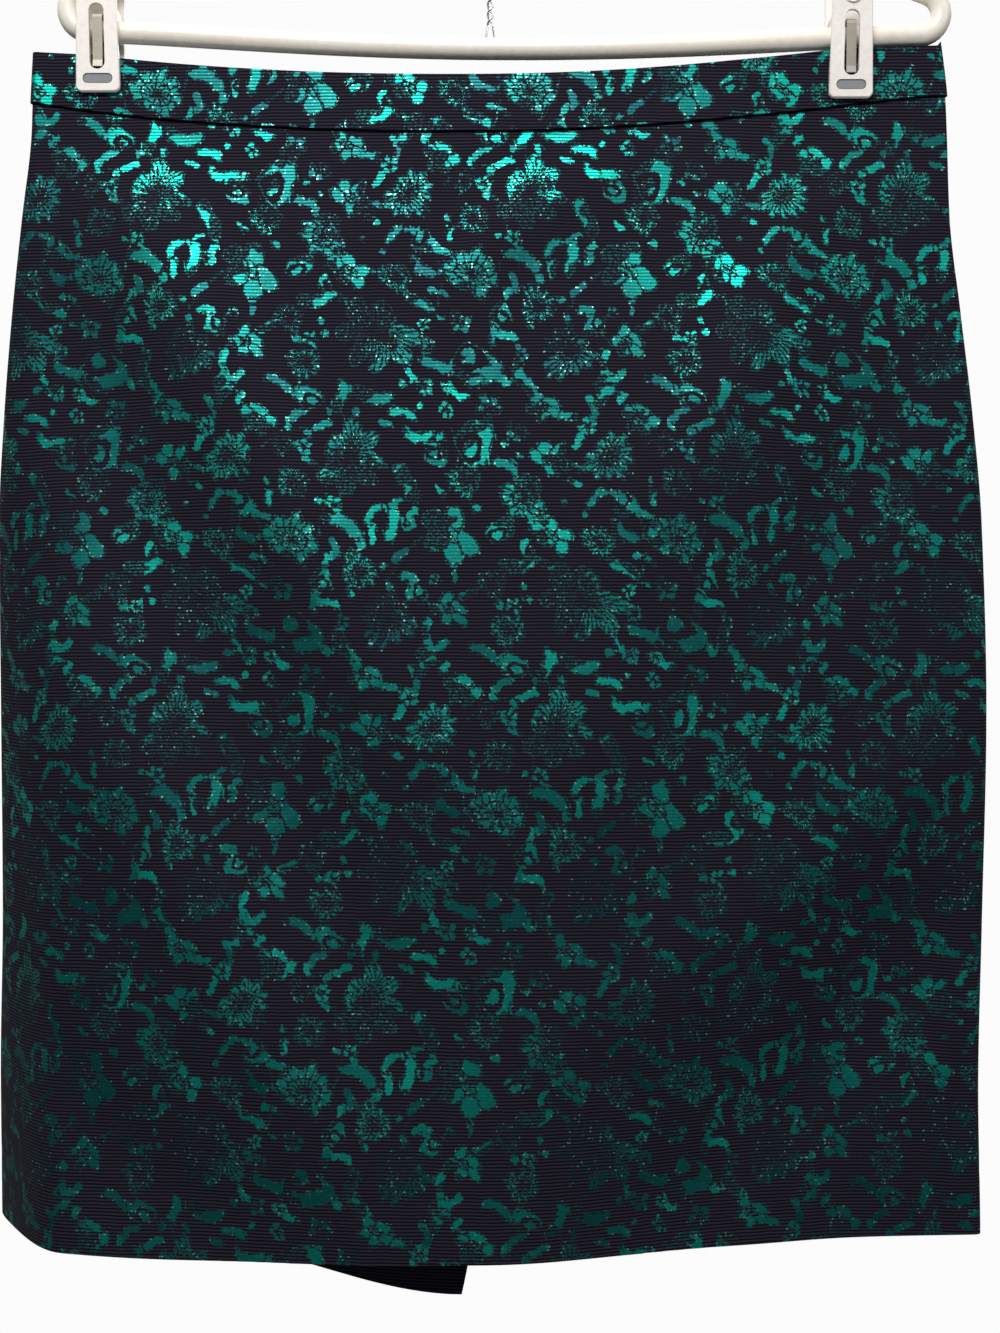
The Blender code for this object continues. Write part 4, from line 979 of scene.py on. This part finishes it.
def brocade(sizes):
    """The skirt's cloth: dark ribs with metallic flowers floated over them."""
    name = "ribbed cloth with metallic flowers"
    if name in bpy.data.materials:
        return bpy.data.materials[name]
    made, tree, shader = new_material(name)
    weave = node(tree, "ShaderNodeGroup", {"Rib Pitch": sizes.rib_pitch}, node_tree=rib_group())
    drawing = node(tree, "ShaderNodeGroup", node_tree=motif_group())
    rib, thread, glint = (Value(tree, socket) for socket in weave.outputs)
    figure, satin, edge, tone = (Value(tree, socket) for socket in drawing.outputs)
    crest = remap(rib, 0.2, 0.7)
    shown = figure * (satin * 0.5).do("ADD", crest * 0.6, clamp=True)
    # painted glints: scattered dots of a paler thread colour at the flowers' edges on the rib crests
    spark = remap(glint, 0.90, 0.94) * edge * figure * crest
    # the thread's colour runs from its dull end to its bright one with the tone, which holds painted shade
    # of the drape
    gloss = mixed(tone * remap(thread, 0.3, 0.7, 0.75, 1.0), sizes.thread_dull_and_shade, sizes.thread_colour)
    # painted sheen on the rib crests and painted shade between the ribs, over the cloth's own dark colour
    ground = mixed(crest, sizes.groove_colour_and_shade, sizes.crest_colour_and_sheen)
    height = rib * remap(figure, 0.0, 1.0, 0.7, 0.15) + thread * 0.3 + figure * 0.5
    relief = node(tree, "ShaderNodeBump", {"Strength": 0.45, "Distance": RELIEF_DEPTH, "Height": height})
    fill(tree, shader, {
        "Base Color": mixed(shown, ground, mixed(spark, gloss, sizes.spark_colour)),
        "Metallic": remap(shown, 0.0, 0.45, 0.0, 0.96),
        "Roughness": remap(shown, 0.0, 1.0, 0.8, 0.36),
        "Normal": relief.outputs["Normal"],
        "Specular IOR Level": 0.08,
        "Sheen Weight": 0.015,
        "Sheen Roughness": 0.4,
    })
    return made


def cream_coating(colours):
    return hard_finish("satin cream coating", colours.coating, (0.72, 0.61, 0.48), 0.26,
                       spread=0.05, wear=0.12, coat=0.3)


def cream_plastic(colours):
    return hard_finish("cream moulded plastic", colours.plastic, (0.74, 0.68, 0.60), 0.36,
                       spread=0.08, wear=0.25, scale=420.0)


def chrome():
    return hard_finish("polished chrome", (0.78, 0.78, 0.79), (0.55, 0.55, 0.56), 0.12, 1.0,
                       spread=0.04, wear=0.2, scale=600.0, bump=0.02)


def spring_steel():
    return hard_finish("bright spring steel", (0.38, 0.35, 0.29), (0.28, 0.25, 0.21), 0.5, 0.6,
                       spread=0.06, wear=0.3, scale=500.0)


def grey_rubber():
    return hard_finish("grey rubber", (0.21, 0.215, 0.235), (0.28, 0.28, 0.29), 0.7,
                       spread=0.1, wear=0.3, scale=700.0, bump=0.15)


def zip_metal():
    return hard_finish("dark enamelled metal", (0.03, 0.035, 0.045), (0.16, 0.15, 0.14), 0.32, 0.7,
                       spread=0.06, wear=0.25, scale=500.0)


def give(piece, finish):
    """Sets a new piece's finish and its slot, and lets it ride on the main body."""
    piece.data.materials.clear()
    piece.data.materials.append(finish)
    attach(piece, MAIN_BODY)


def paint(name, finish):
    """Gives a CAD node, which keeps its own shape, its finish."""
    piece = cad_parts[name]
    for slot in piece.material_slots:
        slot.material = finish
    if not piece.material_slots:
        piece.data.materials.append(finish)


# ---------------- sizes and colours

class SkirtSettings(bpy.types.PropertyGroup):
    """The cloth's sizes and colours."""
    spacing: bpy.props.FloatProperty(
        name="Mesh spacing", description="Distance between the front panel's points",
        default=0.0019, min=0.0016, unit="LENGTH")
    rib_pitch: bpy.props.FloatProperty(
        name="Rib pitch", description="Distance between the cloth's ribs", default=0.00155, unit="LENGTH")
    # The cloth's own dark colour, lighter on the ribs' crests as painted sheen and darker between the ribs
    # as painted shade in the grooves.
    crest_colour_and_sheen: bpy.props.FloatVectorProperty(
        name="Ribs", description="Colour of the ribs' crests", subtype="COLOR", size=3,
        default=(0.022, 0.0185, 0.031), min=0.0, max=1.0)
    groove_colour_and_shade: bpy.props.FloatVectorProperty(
        name="Between ribs", description="Colour between the ribs", subtype="COLOR", size=3,
        default=(0.0015, 0.0018, 0.005), min=0.0, max=1.0)
    thread_colour: bpy.props.FloatVectorProperty(
        name="Flower thread", description="Colour of the metallic thread", subtype="COLOR", size=3,
        default=(0.01, 0.54, 0.43), min=0.0, max=1.0)
    # The flower thread's dull colour: partly the thread's own duller tone, partly painted shade where the
    # drape's folds darken the flowers.
    thread_dull_and_shade: bpy.props.FloatVectorProperty(
        name="Flower thread, deep", description="Colour of the metallic thread where its tone is low, with painted shade",
        subtype="COLOR", size=3, default=(0.012, 0.060, 0.080), min=0.0, max=1.0)
    spark_colour: bpy.props.FloatVectorProperty(
        name="Glints", description="Colour of the thread's glints", subtype="COLOR", size=3,
        default=(0.28, 0.9, 0.72), min=0.0, max=1.0)


class HangerSettings(bpy.types.PropertyGroup):
    """The hanger's sizes and colours."""
    tube_radius: bpy.props.FloatProperty(
        name="Tube radius", description="Radius of the bent tube", default=TUBE_RADIUS * MM, unit="LENGTH")
    tube_sides: bpy.props.IntProperty(
        name="Tube sides", description="Points round the tube", default=40, min=12, max=96)
    coating: bpy.props.FloatVectorProperty(
        name="Coating", description="Colour of the tube's coating", subtype="COLOR", size=3,
        default=(0.90, 0.83, 0.72), min=0.0, max=1.0)
    plastic: bpy.props.FloatVectorProperty(
        name="Clips", description="Colour of the clips' plastic", subtype="COLOR", size=3,
        default=(0.93, 0.87, 0.81), min=0.0, max=1.0)


class StudioSettings(bpy.types.PropertyGroup):
    """The studio's light."""
    key_power: bpy.props.FloatProperty(
        name="Key light", description="Power of the large soft light", default=16.0, unit="POWER")
    world_strength: bpy.props.FloatProperty(
        name="Surroundings", description="Strength of the pale surroundings", default=1.0)


# ---------------- operators

def lay_cloth(piece, cloth, name):
    give(piece, cloth)
    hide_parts(name)


class SKIRT_OT_panels(bpy.types.Operator):
    """Make the front panel and the two back panels with their vent"""
    bl_idname = "skirt.panels"
    bl_label = "Skirt panels"

    def execute(self, context):
        sizes = context.scene.skirt_settings
        spacing = sizes.spacing / MM
        cloth = brocade(sizes)
        # node, whether in front, sag, width, vent, mesh spacing, pattern's offset, flat size and area
        rows = (
            ("front_panel", True, FRONT_SAG, whole_width, None, spacing, (0.0, 0.0), (0.53, 0.56), 0.27),
            ("back_panel_left", False, BACK_LEFT_SAG, left_half, LEFT_VENT, spacing * BACK_COARSER,
             (30.0, 40.0), (0.27, 0.58), 0.135),
            ("back_panel_right", False, BACK_RIGHT_SAG, right_half, RIGHT_VENT, spacing * BACK_COARSER,
             (30.0, 40.0), (0.27, 0.57), 0.135),
        )
        for name, front, sag, start_end, vent, step, offset, flat, area in rows:
            piece = make_panel("cloth_" + name, front, sag, start_end, vent, step, offset)
            lay_cloth(piece, cloth, name)
        return {"FINISHED"}


class SKIRT_OT_waistband(bpy.types.Operator):
    """Make the contour waistband in its three lengths"""
    bl_idname = "skirt.waistband"
    bl_label = "Waistband"

    def execute(self, context):
        cloth = brocade(context.scene.skirt_settings)
        rows = (
            ("waistband_front", True, FRONT_SAG, whole_width, (61.0, 37.0), (0.45, 0.045), 0.0119),
            ("waistband_back_left", False, BACK_LEFT_SAG, left_half, (10.0, 70.0), (0.24, 0.045), 0.006),
            ("waistband_back_right", False, BACK_RIGHT_SAG, right_half, (10.0, 70.0), (0.24, 0.045), 0.006),
        )
        for name, front, sag, start_end, offset, flat, area in rows:
            piece = make_band("cloth_" + name, front, sag, start_end, offset)
            lay_cloth(piece, cloth, name)
        return {"FINISHED"}


class SKIRT_OT_hanger(bpy.types.Operator):
    """Make the bent tube, the hook and the twisted stay, and finish the neck's collar"""
    bl_idname = "skirt.hanger"
    bl_label = "Hanger"

    def execute(self, context):
        sizes = context.scene.hanger_settings
        coating = cream_coating(sizes)
        bright = chrome()
        tree, keys = sweep_tree()
        tube = sizes.tube_radius / MM
        rows = (
            ("hanger_tube", hanger_path(), tube, sizes.tube_sides, coating, "cream_coating"),
            ("hook_wire", hook_path(), HOOK_WIRE, 24, bright, "chrome"),
            ("stay_wire_a", stay_path(0.0), STAY_WIRE, 12, bright, "chrome"),
            ("stay_wire_b", stay_path(math.pi), STAY_WIRE, 12, bright, "chrome"),
        )
        for name, path, radius, sides, finish, slot in rows:
            piece = swept(tree, keys, "fine_" + name, path, radius, sides, finish)
            give(piece, finish)
            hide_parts(name)
        paint("hook_collar", cream_plastic(sizes))
        return {"FINISHED"}


class SKIRT_OT_clips(bpy.types.Operator):
    """Finish the pinch clips: jaws, rubber pads and leaf springs"""
    bl_idname = "skirt.clips"
    bl_label = "Clips"

    def execute(self, context):
        sizes = context.scene.hanger_settings
        for side in ("left", "right"):
            for face in ("front", "rear"):
                paint(f"clip_{face}_jaw_{side}", cream_plastic(sizes))
                paint(f"clip_{face}_pad_{side}", grey_rubber())
            paint(f"clip_spring_{side}", spring_steel())
        return {"FINISHED"}


class SKIRT_OT_zip(bpy.types.Operator):
    """Finish the zip's slider and its pull tab"""
    bl_idname = "skirt.zip"
    bl_label = "Zip"

    def execute(self, context):
        paint("zip_slider", zip_metal())
        paint("zip_tab", zip_metal())
        return {"FINISHED"}


FLOOR_HALF = 1.15
FLOOR_LEVEL = -1.75
# lamp, place, width, height and share of the key light's power
LAMPS = (
    ("overhead light", (-0.15, -0.78, 0.30), 0.6, 0.28, 0.48),
    ("side light", (1.5, -1.1, 0.3), 0.5, 0.9, 0.2),
    ("back light", (0.5, 1.6, 0.5), 1.2, 1.0, 0.8),
)
LAMPS_AIM = (0.0, 0.0, -0.45)
CAMERA_PLACE = (0.0045, -0.85, -0.4984)
CAMERA_LENS = 48.33


def surroundings(light):
    """A white backdrop to look at, and a studio that is bright above and dim below to be lit by."""
    world = bpy.data.worlds.new("pale surroundings")
    world.use_nodes = True
    tree = world.node_tree
    seen = fill(tree, tree.nodes["Background"], {"Color": (1.0, 1.0, 1.0, 1.0), "Strength": 0.97})
    height = parts(Value(tree, node(tree, "ShaderNodeTexCoord").outputs["Generated"]))[2]
    rise = remap(height, -0.5, 0.8) ** 1.9 * 1.15 + 0.015
    lit = node(tree, "ShaderNodeBackground",
               {"Color": (0.96, 0.98, 1.0, 1.0), "Strength": rise * light.world_strength})
    path = node(tree, "ShaderNodeLightPath")
    choose = node(tree, "ShaderNodeMixShader",
                  {0: path.outputs["Is Camera Ray"], 1: lit.outputs[0], 2: seen.outputs[0]})
    fill(tree, tree.nodes["World Output"], {"Surface": choose.outputs[0]})
    return world


class SKIRT_OT_studio(bpy.types.Operator):
    """Make the pale floor, the soft lights, the surroundings and the camera"""
    bl_idname = "skirt.studio"
    bl_label = "Studio"

    def execute(self, context):
        light = context.scene.studio_settings
        mesh = bpy.data.meshes.new("floor")
        corners = [(x * FLOOR_HALF, y * FLOOR_HALF, FLOOR_LEVEL)
                   for x, y in ((-1, -1), (1, -1), (1, 1), (-1, 1))]
        mesh.from_pydata(corners, [], [(0, 1, 2, 3)])
        pale, tree, shader = new_material("pale floor")
        fill(tree, shader, {"Base Color": (0.62, 0.62, 0.62, 1.0), "Roughness": 0.8})
        mesh.materials.append(pale)
        floor = put("floor", mesh)
        context.scene.world = surroundings(light)
        for name, place, width, height, share in LAMPS:
            data = bpy.data.lights.new(name, "AREA")
            data.shape = "RECTANGLE"
            data.energy = light.key_power * share
            data.size = width
            data.size_y = height
            lamp = put(name, data)
            lamp.location = place
            towards = Vector(LAMPS_AIM) - Vector(place)
            lamp.rotation_euler = towards.to_track_quat("-Z", "Y").to_euler()
        data = bpy.data.cameras.new("camera")
        data.lens = CAMERA_LENS
        data.sensor_width = 36.0
        data.clip_start = 0.05
        camera = put("camera", data)
        camera.location = CAMERA_PLACE
        camera.rotation_euler = (math.pi / 2, 0.0, 0.0)
        context.scene.camera = camera
        context.scene.view_settings.view_transform = "Standard"
        return {"FINISHED"}


OPERATORS = (SKIRT_OT_panels, SKIRT_OT_waistband, SKIRT_OT_hanger, SKIRT_OT_clips, SKIRT_OT_zip,
             SKIRT_OT_studio)


class SKIRT_PT_panel(bpy.types.Panel):
    """Lists the skirt's sizes, colours and pieces"""
    bl_idname = "SKIRT_PT_panel"
    bl_label = "Pencil skirt"
    bl_space_type = "VIEW_3D"
    bl_region_type = "UI"
    bl_category = "Skirt"

    def draw(self, context):
        column = self.layout.column()
        for settings in GROUPS:
            group = getattr(context.scene, settings)
            for name in group.bl_rna.properties.keys():
                if name not in ("rna_type", "name"):
                    column.prop(group, name)
        for operator in OPERATORS:
            column.operator(operator.bl_idname)


CLASSES = (SkirtSettings, HangerSettings, StudioSettings, *OPERATORS, SKIRT_PT_panel)
GROUPS = {
    "skirt_settings": SkirtSettings,
    "hanger_settings": HangerSettings,
    "studio_settings": StudioSettings,
}


def register():
    for made in CLASSES:
        bpy.utils.register_class(made)
    for name, group in GROUPS.items():
        setattr(bpy.types.Scene, name, bpy.props.PointerProperty(type=group))


def unregister():
    for name in GROUPS:
        delattr(bpy.types.Scene, name)
    for made in reversed(CLASSES):
        bpy.utils.unregister_class(made)


def main():
    register()
    bpy.ops.skirt.panels()
    bpy.ops.skirt.waistband()
    bpy.ops.skirt.hanger()
    bpy.ops.skirt.clips()
    bpy.ops.skirt.zip()
    bpy.ops.skirt.studio()


if __name__ == "__main__":
    main()
